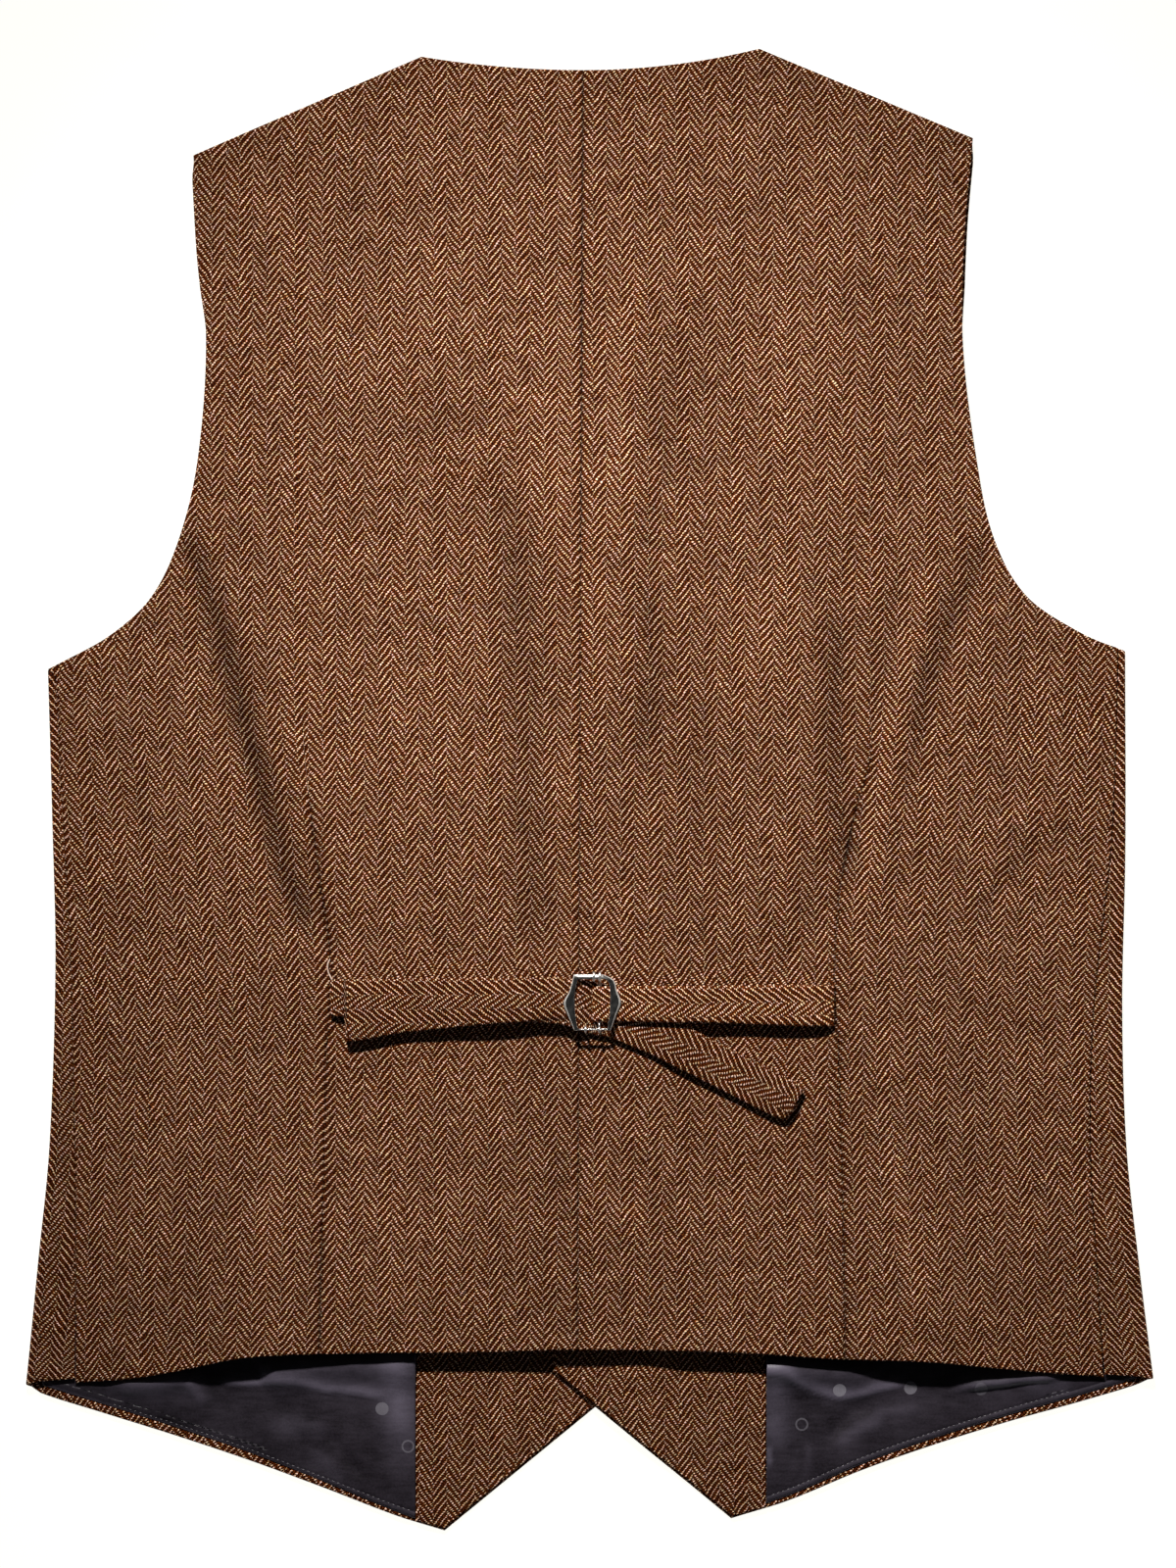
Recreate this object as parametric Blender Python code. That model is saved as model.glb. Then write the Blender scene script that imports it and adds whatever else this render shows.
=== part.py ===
"""Suit waistcoat in herringbone tweed, lying flat with its back up.

Millimetres inside, metres in the finished meshes. +X is to the right and +Y towards the neck as the
back is seen from above, and +Z is up from the surface that the fronts lie on.

From the surface up: five buttons, the wearer's left front, its facing and lining, the wearer's right
front lapped over it, its facing and lining, the two halves of the back, the cinch straps and the buckle.
Each front wraps round the side fold and meets the back at a seam on the back's own side.
"""
import math
from collections import namedtuple

import bmesh
import bpy
from mathutils import Vector
from mathutils.bvhtree import BVHTree

MM = 0.001

# Walls and gaps
GAP = 0.3
FRONT_WALL = 1.5
BACK_WALL = 1.8
FACING_WALL = 1.1
LINING_WALL = 1.0
STRAP_WALL = 2.0

# Heights of the back's upper face over the layers below it
LAYER_STEP = FACING_WALL + GAP
PLAIN_TOP = FRONT_WALL + GAP + BACK_WALL
FOLD_HEIGHT = 4.6
FOLD_STEP_RISE = 0.5
FOLD_SPREAD = 20.0
LOOSE_RISE = 0.7
LOOSE_FROM_FOLD = (30.0, 80.0)
LOOSE_TOP_Y = (300.0, 380.0)
RELIEF_FROM_FOLD = (4.0, 24.0)

# Inside pieces reach from the fronts' hem to here, and the layers above step up before it
INSIDE_TOP_Y = -254.0
STEP_START_Y = -190.0
STEP_END_Y = -225.0
HEM_LIFT_REACH = 95.0

# The fronts' lap and its buttons
LAP_CENTRE_X = 1.65
LAP_OUT_X = 22.5
LAP_DOWN_X = 54.0
V_POINT_Y = 45.0
BUTTON_COUNT = 5
BUTTON_TOP_Y = 24.0
BUTTON_LOW_Y = -220.0
BUTTON_RADIUS = 7.5
BUTTON_THICK = 2.2
BUTTON_SIDES = 14
BUTTON_RIDGE_IN = 11.0
BUTTON_RIDGE_OUT = 34.0
BUTTON_LIFT = BUTTON_THICK + GAP + 0.1
BUTTON_RIDGE_LOW_Y = -241.0
BUTTON_RIDGE_FULL_Y = -230.0
BUTTON_RIDGE_ROWS = (-250.0, -234.0)
BUTTON_RIDGE_TOP_Y = (40.0, 62.0)
LAP_SLACK = 0.3
LAP_END_Y = 112.0
LAP_FADE_Y = 160.0

# A button's profile, from the middle of its face out, round the rim and over its back
ProfilePoint = namedtuple("ProfilePoint", "name radius height")
BUTTON_PROFILE = (
    ProfilePoint("dish", 0.0, 0.6),
    ProfilePoint("dish edge", 4.2, 0.6),
    ProfilePoint("rim face", 5.4, 0.0),
    ProfilePoint("rim edge", 6.8, 0.0),
    ProfilePoint("rim", BUTTON_RADIUS, 0.7),
    ProfilePoint("back edge", 7.1, BUTTON_THICK),
    ProfilePoint("back", 0.0, BUTTON_THICK),
)

# The back's ridge over the lap
RIDGE_IN = 22.0
RIDGE_OUT = 64.0
RIDGE_END_Y = 125.0
RIDGE_FADE_Y = 200.0

# Centre back seam, top and hem, and the seams between facing and lining
CENTRE_TOP = (-3.1, 346.7)
CENTRE_HEM = (-5.9, -269.7)
FACING_SEAM_X = {-1: -83.9, 1: 85.3}
HEM_BAND = 3.6
EDGE_BAND = 0.9
POINT_INSET = (0.4, 1.5)
FACING_CORNER_Y = -267.0
LINING_SIDE_INSET = 8.0
FACING_EASE = 3.0
FLAP_CLEAR = 2.6

# Each front's armhole edge shows this far past the back's, over this stretch
PEEK = 1.4
PEEK_LOW_Y = 215.0
PEEK_HIGH_Y = 245.0
PEEK_FADE = 12.0

Station = namedtuple("Station", "name left_x left_y right_x right_y")
SIDE = (
    Station("hem", -271.6, -286.4, 271.6, -284.2),
    Station("low hip", -266.4, -229.0, 265.4, -229.0),
    Station("hip", -260.9, -172.3, 259.4, -172.3),
    Station("waist", -258.0, -85.0, 257.0, -105.0),
    Station("ribs", -259.5, -15.0, 257.8, -30.0),
    Station("underarm", -261.6, 57.9, 258.8, 66.9),
)
ARMHOLE = (
    Station("underarm", -261.6, 57.9, 258.8, 66.9),
    Station("first turn", -232.8, 73.5, 240.4, 73.9),
    Station("scoop", -212.0, 92.4, 212.0, 92.4),
    Station("low bend", -198.3, 120.8, 195.5, 120.8),
    Station("blade", -189.3, 158.6, 187.0, 158.6),
    Station("middle", -185.1, 215.3, 180.3, 215.3),
    Station("yoke", -188.8, 262.6, 181.0, 266.0),
    Station("shoulder tip", -191.2, 306.1, 185.1, 312.2),
)
NECK_POINT = {-1: (-81.1, 353.8), 1: (82.0, 357.1)}
SHOULDER_TIP = {-1: (-191.2, 306.1), 1: (185.1, 312.2)}

SeamInset = namedtuple("SeamInset", "y left right")
SEAM_INSETS = (
    SeamInset(-286.0, 23.0, 24.0),
    SeamInset(-229.0, 18.5, 20.5),
    SeamInset(-172.0, 12.5, 17.5),
    SeamInset(-115.0, 9.0, 14.5),
    SeamInset(-20.0, 5.5, 6.5),
    SeamInset(60.0, 3.6, 3.6),
)

HemPlace = namedtuple("HemPlace", "x y height")
BACK_HEM = (
    HemPlace(-271.6, -285.8, 5.0),
    HemPlace(-246.5, -285.0, 5.6),
    HemPlace(-221.5, -283.9, 8.2),
    HemPlace(-198.3, -280.1, 11.6),
    HemPlace(-165.0, -273.4, 14.6),
    HemPlace(-113.2, -271.6, 12.2),
    HemPlace(-57.4, -271.1, 12.0),
    HemPlace(-5.9, -269.7, 13.8),
    HemPlace(68.3, -271.1, 12.4),
    HemPlace(118.9, -274.2, 13.0),
    HemPlace(163.0, -275.5, 14.8),
    HemPlace(200.0, -279.3, 10.2),
    HemPlace(236.0, -282.6, 6.4),
    HemPlace(271.6, -284.3, 5.0),
)

FRONT_HEM = (
    Station("corner", -271.6, -286.4, 271.6, -284.2),
    Station("side", -234.7, -299.6, 238.0, -294.3),
    Station("hip", -199.2, -311.3, 202.5, -304.2),
    Station("thigh", -163.8, -323.1, 167.1, -315.5),
    Station("inner", -128.3, -336.3, 131.6, -327.8),
    Station("facing", -92.9, -350.0, 96.2, -342.5),
    Station("point", -70.5, -357.1, 68.5, -351.2),
)
FRONT_EDGE = (
    Station("point", -70.5, -357.1, 68.5, -351.2),
    Station("lap corner", 21.0, -280.1, -17.7, -280.1),
    Station("v point", 21.0, V_POINT_Y, -17.7, V_POINT_Y),
    Station("neck point", -81.1, 353.8, 82.0, 357.1),
)

Fold = namedtuple("Fold", "name top_x top_y mid_x mid_y low_x low_y half_width depth")
FOLDS = (
    Fold("left trough", -190.0, 92.0, -154.0, -8.0, -127.0, -86.0, 12.0, 2.4),
    Fold("left dart", -126.0, -122.0, -128.3, -186.0, -130.2, -275.0, 8.0, 1.2),
    Fold("right trough", 121.0, 80.0, 131.0, 0.0, 118.5, -86.0, 11.0, 1.5),
    Fold("right dart", 119.8, -122.0, 122.0, -186.0, 123.1, -277.0, 8.0, 1.2),
    Fold("left underarm", -246.0, 44.0, -220.0, 0.0, -205.0, -50.0, 12.0, 1.0),
    Fold("right underarm", 243.0, 50.0, 222.0, 8.0, 200.0, -40.0, 12.0, 1.0),
)
SWELL_WIDTHS = 3.2
FOLD_FADE = 30.0

StrapRow = namedtuple("StrapRow", "name top_x top_y low_x low_y lift")
LEFT_STRAP = (
    StrapRow("sewn end", -124.8, -91.7, -124.8, -109.2, 0.35),
    StrapRow("notch", -117.9, -91.6, -117.5, -109.4, 0.6),
    StrapRow("free corner", -116.4, -91.6, -116.1, -121.6, 0.9),
    StrapRow("root", -110.0, -91.5, -110.0, -121.0, 1.6),
    StrapRow("taper", -92.4, -91.3, -92.4, -117.5, 2.6),
    StrapRow("span", -70.2, -91.1, -70.2, -115.1, 3.2),
    StrapRow("middle", -45.1, -90.7, -45.1, -112.5, 3.8),
    StrapRow("approach", -26.7, -90.4, -26.7, -110.4, 4.4),
    StrapRow("left bar", -12.6, -90.5, -12.4, -109.4, 4.7),
    StrapRow("window", -6.6, -91.2, -6.8, -109.6, 4.2),
    StrapRow("prong bar", -2.0, -91.3, -3.8, -110.6, 3.0),
    StrapRow("turn", 3.6, -92.1, -1.2, -111.8, 1.3),
    StrapRow("right bar", 10.1, -95.0, 1.9, -113.4, 0.6),
    StrapRow("tail root", 18.5, -99.5, 9.5, -117.3, 0.5),
    StrapRow("tail", 39.5, -110.2, 30.5, -128.0, 0.5),
    StrapRow("tail middle", 64.6, -123.2, 55.7, -141.0, 1.0),
    StrapRow("tail corner", 98.0, -140.2, 89.2, -157.9, 2.2),
    StrapRow("tail end", 103.2, -144.0, 95.6, -158.2, 2.6),
)
RIGHT_STRAP = (
    StrapRow("folded end", 1.4, -94.9, 1.4, -111.3, 4.7),
    StrapRow("right bar", 14.0, -94.8, 14.0, -111.3, 4.7),
    StrapRow("span", 38.0, -94.7, 38.0, -111.8, 4.1),
    StrapRow("middle", 62.0, -94.6, 62.0, -112.3, 3.6),
    StrapRow("fall", 86.0, -94.5, 86.0, -113.2, 2.9),
    StrapRow("root", 104.0, -94.4, 104.0, -113.9, 1.5),
    StrapRow("hold", 112.5, -94.3, 112.5, -114.0, 0.6),
    StrapRow("sewn end", 117.9, -94.3, 117.9, -114.1, 0.35),
)
STRAP_COLUMNS = 4
STRAP_STIFFNESS = 4.0

# Buckle: corners of the frame's outer and inner edge, from its centre
BUCKLE_CENTRE = (1.2, -102.3)
BUCKLE_THICK = 1.4
BUCKLE_WORN_EDGE = 0.25
BUCKLE_STRAP_LIFT = 4.7
BUCKLE_OVER_BACK = BUCKLE_STRAP_LIFT + STRAP_WALL + GAP
BUCKLE_REACH = 12.0
BAR_TOP_Y = 12.5
BAR_LOW_Y = -12.6
BAR_TURN = 0.9
WIRE_RADIUS = 0.5
BuckleCorner = namedtuple("BuckleCorner", "name outer_x outer_y inner_x inner_y")
BUCKLE = (
    BuckleCorner("top left", -8.7, 13.5, -6.9, 11.2),
    BuckleCorner("top right", 5.2, 13.5, 6.4, 11.2),
    BuckleCorner("shoulder", 10.4, 10.8, 8.3, 9.7),
    BuckleCorner("upper right", 12.1, 5.4, 9.4, 5.0),
    BuckleCorner("right", 13.9, 0.2, 9.5, 0.0),
    BuckleCorner("lower right", 11.6, -6.1, 8.8, -6.1),
    BuckleCorner("bottom right", 9.0, -13.5, 7.6, -11.8),
    BuckleCorner("bottom left", -8.5, -13.5, -6.9, -11.8),
    BuckleCorner("lower left", -11.6, -6.1, -8.0, -5.2),
    BuckleCorner("left", -13.7, 0.0, -8.3, 0.9),
    BuckleCorner("upper left", -10.9, 5.4, -8.0, 5.7),
)
BuckleBar = namedtuple("BuckleBar", "name x over_back")
BUCKLE_BARS = (
    BuckleBar("buckle_prong_bar", -3.1, 0.9),
    BuckleBar("buckle_fixed_bar", 3.5, 4.0),
)

# Grid lines of the panels: part of the way up the side, up the armhole, or across
LOW_ROWS = (0.0, 0.045, 0.09, 0.135, 0.225, 0.38, 0.46, 0.54, 0.62, 0.70, 0.78, 0.86, 0.92, 1.0)
HIGH_ROWS = (0.015, 0.035, 0.065, 0.10, 0.15, 0.21, 0.29, 0.38, 0.48, 0.59, 0.70, 0.81, 0.91, 1.0)
NECK_COLUMN = 0.42
BACK_COLUMNS = (0.0, 0.04, 0.08, 0.12, 0.165, 0.21, 0.26, 0.31, 0.365, NECK_COLUMN, 0.465, 0.51,
                0.555, 0.60, 0.65, 0.70, 0.75, 0.80, 0.85, 0.90, 0.95, 1.0)
FRONT_COLUMNS = (0.0, 0.035, 0.07, 0.105, 0.14, 0.175, 0.21, 0.26, 0.33, 0.45, 0.59, 0.73, 0.87, 1.0)
FOLD_STEPS = 6
FLAP_RISE = 2.4
HEM_ROW = 0.03
INSIDE_COLUMNS = 8
FACING_EDGE_PARTS = (0.25, 0.5, 0.75, 1.0)
LINING_ROWS = (0.0, 0.33, 0.67, 1.0)


def remove_everything():
    for thing in list(bpy.data.objects):
        bpy.data.objects.remove(thing, do_unlink=True)


def make_material(name, colour, roughness, metallic=0.0):
    material = bpy.data.materials.new(name)
    material.use_nodes = True
    shader = material.node_tree.nodes["Principled BSDF"]
    shader.inputs["Base Color"].default_value = (*colour, 1.0)
    shader.inputs["Roughness"].default_value = roughness
    shader.inputs["Metallic"].default_value = metallic
    return material


def mix(a, b, part):
    return a + (b - a) * part


def ease(start, end, value):
    """0 at start and 1 at end, level at both."""
    part = min(max((value - start) / (end - start), 0.0), 1.0)
    return part * part * (3.0 - 2.0 * part)


def through(keys, values, at):
    """Smooth value at a place along rising keys, with the slope at each row from its neighbours."""
    if at <= keys[0]:
        return values[0]
    if at >= keys[-1]:
        return values[-1]
    last = len(keys) - 1
    i = max(k for k in range(last) if keys[k] <= at)
    width = keys[i + 1] - keys[i]

    def slope(k):
        low, high = max(k - 1, 0), min(k + 1, last)
        return (values[high] - values[low]) / (keys[high] - keys[low])

    u = (at - keys[i]) / width
    start, end = slope(i) * width, slope(i + 1) * width
    return (values[i] * (1 + 2 * u) * (1 - u) ** 2 + start * u * (1 - u) ** 2
            + values[i + 1] * u * u * (3 - 2 * u) + end * u * u * (u - 1))


def table_points(table, side):
    """A station table's points on one side, -1 for left and 1 for right."""
    if side < 0:
        return [(row.left_x, row.left_y) for row in table]
    return [(row.right_x, row.right_y) for row in table]


def x_at(points, y):
    return through([p[1] for p in points], [p[0] for p in points], y)


def y_at(points, x):
    ordered = sorted(points)
    return through([p[0] for p in ordered], [p[1] for p in ordered], x)


def underarm_y(side):
    return table_points(SIDE, side)[-1][1]


def hem_corner_y(side):
    return table_points(SIDE, side)[0][1]


def fold_x(side, y):
    """The garment's edge below the underarm."""
    return x_at(table_points(SIDE, side), y)


def seam_inset(side, y):
    """How far the side seam lies in from the fold, on the back's side."""
    keys = [row.y for row in SEAM_INSETS]
    return through(keys, [row.left if side < 0 else row.right for row in SEAM_INSETS], y)


def inside_step(y):
    """1 where facings and linings lie inside the fronts, and 0 above them."""
    return ease(STEP_START_Y, STEP_END_Y, y)


def fold_height(y):
    """Height of the side fold, over both layers."""
    return FOLD_HEIGHT + FOLD_STEP_RISE * inside_step(y)


def button_ridge(x, y):
    """The fronts ride over the buttons on a low ridge, and lie flat beside it."""
    off = abs(x - LAP_CENTRE_X)
    ends = ease(BUTTON_RIDGE_LOW_Y, BUTTON_RIDGE_FULL_Y, y) * (1.0 - ease(*BUTTON_RIDGE_TOP_Y, y))
    return BUTTON_LIFT * (1.0 - ease(BUTTON_RIDGE_IN, BUTTON_RIDGE_OUT, off)) * ends


def front_under(side, x, y):
    """Height of a front's outer face, which lies down: the right front is lapped over the left."""
    ridge = button_ridge(x, y)
    if side < 0:
        return ridge
    step = FRONT_WALL + GAP + LAP_SLACK * ridge / BUTTON_LIFT + LAYER_STEP * inside_step(y)
    step *= ease(LAP_FADE_Y, LAP_END_Y, y)
    return ridge + step * (1.0 - ease(LAP_OUT_X, LAP_DOWN_X, x))


def fold_relief(x, y):
    """Troughs with a soft swell beside each, down to the layer below and never under it."""
    relief = 0.0
    for fold in FOLDS:
        if not fold.low_y - FOLD_FADE < y < fold.top_y + FOLD_FADE:
            continue
        along = through((fold.low_y, fold.mid_y, fold.top_y), (fold.low_x, fold.mid_x, fold.top_x), y)
        off = abs(x - along)
        start = ease(fold.low_y - FOLD_FADE, fold.low_y + FOLD_FADE, y)
        ends = start * ease(fold.top_y + FOLD_FADE, fold.top_y - FOLD_FADE, y)
        swell = math.exp(-(off / (fold.half_width * SWELL_WIDTHS)) ** 2)
        trough = math.exp(-(off / fold.half_width) ** 2)
        relief += fold.depth * (swell - trough) * ends
    return max(relief, 0.0)


def back_top(x, y):
    """Height of the back's upper face."""
    side = -1 if x < CENTRE_HEM[0] else 1
    edge = fold_x(side, y)
    in_from_fold = abs(edge - x)
    plain = PLAIN_TOP + LAYER_STEP * inside_step(y)
    height = plain + (fold_height(y) - plain) * math.exp(-(in_from_fold / FOLD_SPREAD) ** 2)
    height += LOOSE_RISE * ease(*LOOSE_FROM_FOLD, in_from_fold) * (1.0 - ease(*LOOSE_TOP_Y, y))
    under = FRONT_WALL + GAP + LAP_SLACK + LAYER_STEP * inside_step(y) + BUTTON_LIFT
    ridge = 1.0 - ease(RIDGE_IN, RIDGE_OUT, abs(x - LAP_CENTRE_X))
    height += under * ridge * ease(RIDGE_FADE_Y, RIDGE_END_Y, y)
    height += fold_relief(x, y) * ease(*RELIEF_FROM_FOLD, in_from_fold)
    hem_y = y_at([(row.x, row.y) for row in BACK_HEM], x)
    hem_height = y_at([(row.x, row.height) for row in BACK_HEM], x)
    lifted = max(hem_height, height)
    return mix(height, lifted, ease(hem_y + HEM_LIFT_REACH, hem_y, y))


def row_places(side):
    """Rows shared by a side's front and back, so that they meet along the seam: 0 hem, 1 shoulder.

    Below the underarm they take in the front edge's corners and the ends of the button ridge.
    """
    corner_y, arm_y, tip_y = hem_corner_y(side), underarm_y(side), SHOULDER_TIP[side][1]
    arm_t = (arm_y - corner_y) / (tip_y - corner_y)
    edge_points = table_points(FRONT_EDGE, side)
    low_y, high_y = edge_points[0][1], edge_points[-1][1]
    marks = (edge_points[1][1], *BUTTON_RIDGE_ROWS, V_POINT_Y)
    low = [arm_t * part for part in LOW_ROWS] + [(y - low_y) / (high_y - low_y) for y in marks]
    return arm_t, sorted(low) + [mix(arm_t, 1.0, part) for part in HIGH_ROWS]


def coons(low, high, inner, outer, s, t):
    """Point in the patch between four edges: low and high run with s, inner and outer with t."""
    corners = (low(0) * (1 - s) + low(1) * s) * (1 - t) + (high(0) * (1 - s) + high(1) * s) * t
    return low(s) * (1 - t) + high(s) * t + inner(t) * (1 - s) + outer(t) * s - corners


def make_sheet(name, rows, wall, material, face_down=False):
    """A wall of cloth from rows of points on its face; the wall goes in from them.

    A row may be longer than its neighbours: its extra points make a flap of their own.
    """
    mesh = bpy.data.meshes.new(name)
    bm = bmesh.new()
    grid = [[bm.verts.new(point * MM) for point in row] for row in rows]
    for low, high in zip(grid, grid[1:]):
        for a, b, c, d in zip(low, low[1:], high[1:], high):
            bm.faces.new((a, b, c, d))
    loose = [vert for vert in bm.verts if not vert.link_faces]
    bmesh.ops.delete(bm, geom=loose, context="VERTS")
    bm.normal_update()
    first = min(bm.faces, key=lambda face: abs(face.calc_center_median().x - rows[0][0].x * MM))
    if (first.normal.z < 0) != face_down:
        bmesh.ops.reverse_faces(bm, faces=bm.faces[:])
    bm.to_mesh(mesh)
    bm.free()
    mesh.shade_smooth()
    piece = bpy.data.objects.new(name, mesh)
    bpy.context.collection.objects.link(piece)
    mesh.materials.append(material)
    thick = piece.modifiers.new("Wall", "SOLIDIFY")
    thick.thickness = wall * MM
    thick.offset = -1.0
    thick.use_even_offset = True
    thick.use_quality_normals = True
    return piece


def surface_of(*pieces):
    """The finished walls' surfaces, for what lies on them."""
    bpy.context.view_layer.update()
    graph = bpy.context.evaluated_depsgraph_get()
    return [BVHTree.FromObject(piece, graph) for piece in pieces]


def height_on(trees, x, y, around=0.0, ceiling=100.0):
    """The highest point of the surfaces below a ceiling, at a place or in a small cross around it."""
    steps = ((0, 0), (around, 0), (-around, 0), (0, around), (0, -around))
    found = []
    for dx, dy in steps:
        start = Vector((x + dx, y + dy, ceiling)) * MM
        for tree in trees:
            hit = tree.ray_cast(start, Vector((0, 0, -1)))
            if hit[0] is not None:
                found.append(hit[0].z / MM)
    return max(found)


def back_half(side, material):
    """Half of the back: centre seam, hem, side seam and armhole, shoulder and neckline."""
    hem_points = [(row.x, row.y) for row in BACK_HEM]
    arm_points = table_points(ARMHOLE, side)
    corner_y, arm_y, tip_y = hem_corner_y(side), underarm_y(side), SHOULDER_TIP[side][1]
    neck_x, neck_y = NECK_POINT[side]
    half_gap = side * GAP / 2

    def centre(t):
        return Vector((mix(CENTRE_HEM[0], CENTRE_TOP[0], t) + half_gap, mix(CENTRE_HEM[1], CENTRE_TOP[1], t)))

    def outer(t):
        y = mix(corner_y, tip_y, t)
        if y <= arm_y + 1e-6:
            x = fold_x(side, y) - side * (seam_inset(side, y) + GAP / 2)
            low_y = y_at(hem_points, x)
            return Vector((x, mix(low_y, y, ease(0.0, HEM_ROW, t))))
        return Vector((x_at(arm_points, y), y))

    def hem(s):
        x = mix(centre(0).x, outer(0).x, s)
        y = y_at(hem_points, x)
        return Vector((x, y))

    def top(s):
        if s <= NECK_COLUMN:
            x = mix(centre(1).x, neck_x, s / NECK_COLUMN)
            bow = ((x - CENTRE_TOP[0]) / (neck_x - CENTRE_TOP[0])) ** 2
            return Vector((x, mix(CENTRE_TOP[1], neck_y, bow)))
        part = (s - NECK_COLUMN) / (1.0 - NECK_COLUMN)
        tip_x = SHOULDER_TIP[side][0]
        return Vector((mix(neck_x, tip_x, part), mix(neck_y, tip_y, part)))

    rows = []
    for t in row_places(side)[1]:
        row = []
        for s in BACK_COLUMNS:
            place = coons(hem, top, centre, outer, s, t)
            row.append(Vector((place.x, place.y, back_top(place.x, place.y))))
        rows.append(row)
    name = "back_left" if side < 0 else "back_right"
    return make_sheet(name, rows, BACK_WALL, material)


def front_edge_point(side, t):
    """Along a front's edge, from its bottom point to the neck, in equal steps of height."""
    points = table_points(FRONT_EDGE, side)
    y = mix(points[0][1], points[-1][1], t)
    for (low_x, low_y), (high_x, high_y) in zip(points, points[1:]):
        if y <= high_y + 1e-6:
            return Vector((mix(low_x, high_x, (y - low_y) / (high_y - low_y)), y))
    return Vector(points[-1])


def front_fold_points(side, y, low):
    """A front's points round the side fold and back along the back's side to the seam.

    low is 1 at the hem, where the flap's edge rises to the back's own hem, and 0 above it.
    """
    radius = fold_height(y) / 2
    edge = fold_x(side, y)
    end_x = edge - side * (seam_inset(side, y) - GAP / 2)
    points = []
    for step in range(1, FOLD_STEPS + 1):
        angle = math.pi * step / FOLD_STEPS
        out = radius * (1 - math.sin(angle))
        rise = FLAP_RISE / 2 * low * step / FOLD_STEPS
        points.append(Vector((edge - side * out, y + rise, radius * (1 - math.cos(angle)))))
    flap_start = points[-1]
    end = Vector((end_x, y + FLAP_RISE * low, back_top(end_x, y)))
    points += [flap_start.lerp(end, part) for part in (0.5, 1.0)]
    return points


def front_panel(side, material):
    """A front: its edge and V, hem, side fold with the flap to the seam, armhole and shoulder."""
    hem_points = table_points(FRONT_HEM, side)
    arm_points = table_points(ARMHOLE, side)
    corner_y, arm_y, tip_y = hem_corner_y(side), underarm_y(side), SHOULDER_TIP[side][1]
    bottom = hem_points[-1]

    def edge(t):
        return front_edge_point(side, t)

    def outer(t):
        y = mix(corner_y, tip_y, t)
        if y <= arm_y + 1e-6:
            return Vector((fold_x(side, y) - side * fold_height(y) / 2, y))
        peek = PEEK * ease(PEEK_LOW_Y, PEEK_HIGH_Y, y) * ease(tip_y, tip_y - PEEK_FADE, y)
        return Vector((x_at(arm_points, y) + side * peek, y))

    def hem(s):
        x = mix(bottom[0], outer(0).x, s)
        return Vector((x, y_at(hem_points, x)))

    def shoulder(s):
        return Vector(NECK_POINT[side]).lerp(Vector(SHOULDER_TIP[side]), s)

    arm_t, places = row_places(side)
    rows = []
    for t in places:
        row = []
        for s in FRONT_COLUMNS:
            place = coons(hem, shoulder, edge, outer, s, t)
            row.append(Vector((place.x, place.y, front_under(side, place.x, place.y))))
        if t <= arm_t + 1e-9:
            row += front_fold_points(side, outer(t).y, ease(HEM_ROW, 0.0, t))
        rows.append(row)
    name = "front_left" if side < 0 else "front_right"
    return make_sheet(name, rows, FRONT_WALL, material, face_down=True)


def facing(side, trees, material):
    """The inside of a front along its edge, from the hem to where the back hides it."""
    hem_points = table_points(FRONT_HEM, side)
    edge_points = table_points(FRONT_EDGE, side)
    seam_x = FACING_SEAM_X[side] - side * GAP / 2
    low_y = y_at(hem_points, seam_x) + EDGE_BAND
    point, corner = Vector(edge_points[0]), Vector(edge_points[1])
    inward = Vector((side * EDGE_BAND, EDGE_BAND))
    edge_line = [point + Vector((side * POINT_INSET[0], POINT_INSET[1]))]
    edge_line += [point.lerp(corner, part) + inward for part in FACING_EDGE_PARTS]
    edge_line += [Vector((corner.x + side * EDGE_BAND, y)) for y in (FACING_CORNER_Y, INSIDE_TOP_Y)]
    first_y = edge_line[0].y
    rows = []
    for place in edge_line:
        part = (place.y - first_y) / (INSIDE_TOP_Y - first_y)
        seam_end = Vector((seam_x, mix(low_y, INSIDE_TOP_Y, part)))
        row = []
        for column in range(INSIDE_COLUMNS + 1):
            spot = seam_end.lerp(place, column / INSIDE_COLUMNS)
            ceiling = front_under(side, spot.x, spot.y) + FLAP_CLEAR
            height = height_on(trees, spot.x, spot.y, FACING_EASE, ceiling) + GAP + FACING_WALL
            row.append(Vector((spot.x, spot.y, height)))
        rows.append(row)
    name = "facing_left" if side < 0 else "facing_right"
    return make_sheet(name, rows, FACING_WALL, material)


def lining(side, trees, material):
    """A front's lining beside its facing, a hem band above the edge."""
    hem_points = table_points(FRONT_HEM, side)
    seam_x = FACING_SEAM_X[side] + side * GAP / 2
    rows = []
    for part in LINING_ROWS:
        row = []
        for column in range(INSIDE_COLUMNS + 1):
            across = column / INSIDE_COLUMNS
            side_x = fold_x(side, mix(hem_corner_y(side), INSIDE_TOP_Y, part)) - side * LINING_SIDE_INSET
            x = mix(seam_x, side_x, across)
            y = mix(y_at(hem_points, x) + HEM_BAND, INSIDE_TOP_Y, part)
            height = height_on(trees, x, y, ceiling=FLAP_CLEAR) + GAP + LINING_WALL
            row.append(Vector((x, y, height)))
        rows.append(row)
    name = "lining_left" if side < 0 else "lining_right"
    return make_sheet(name, rows, LINING_WALL, material)


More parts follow.
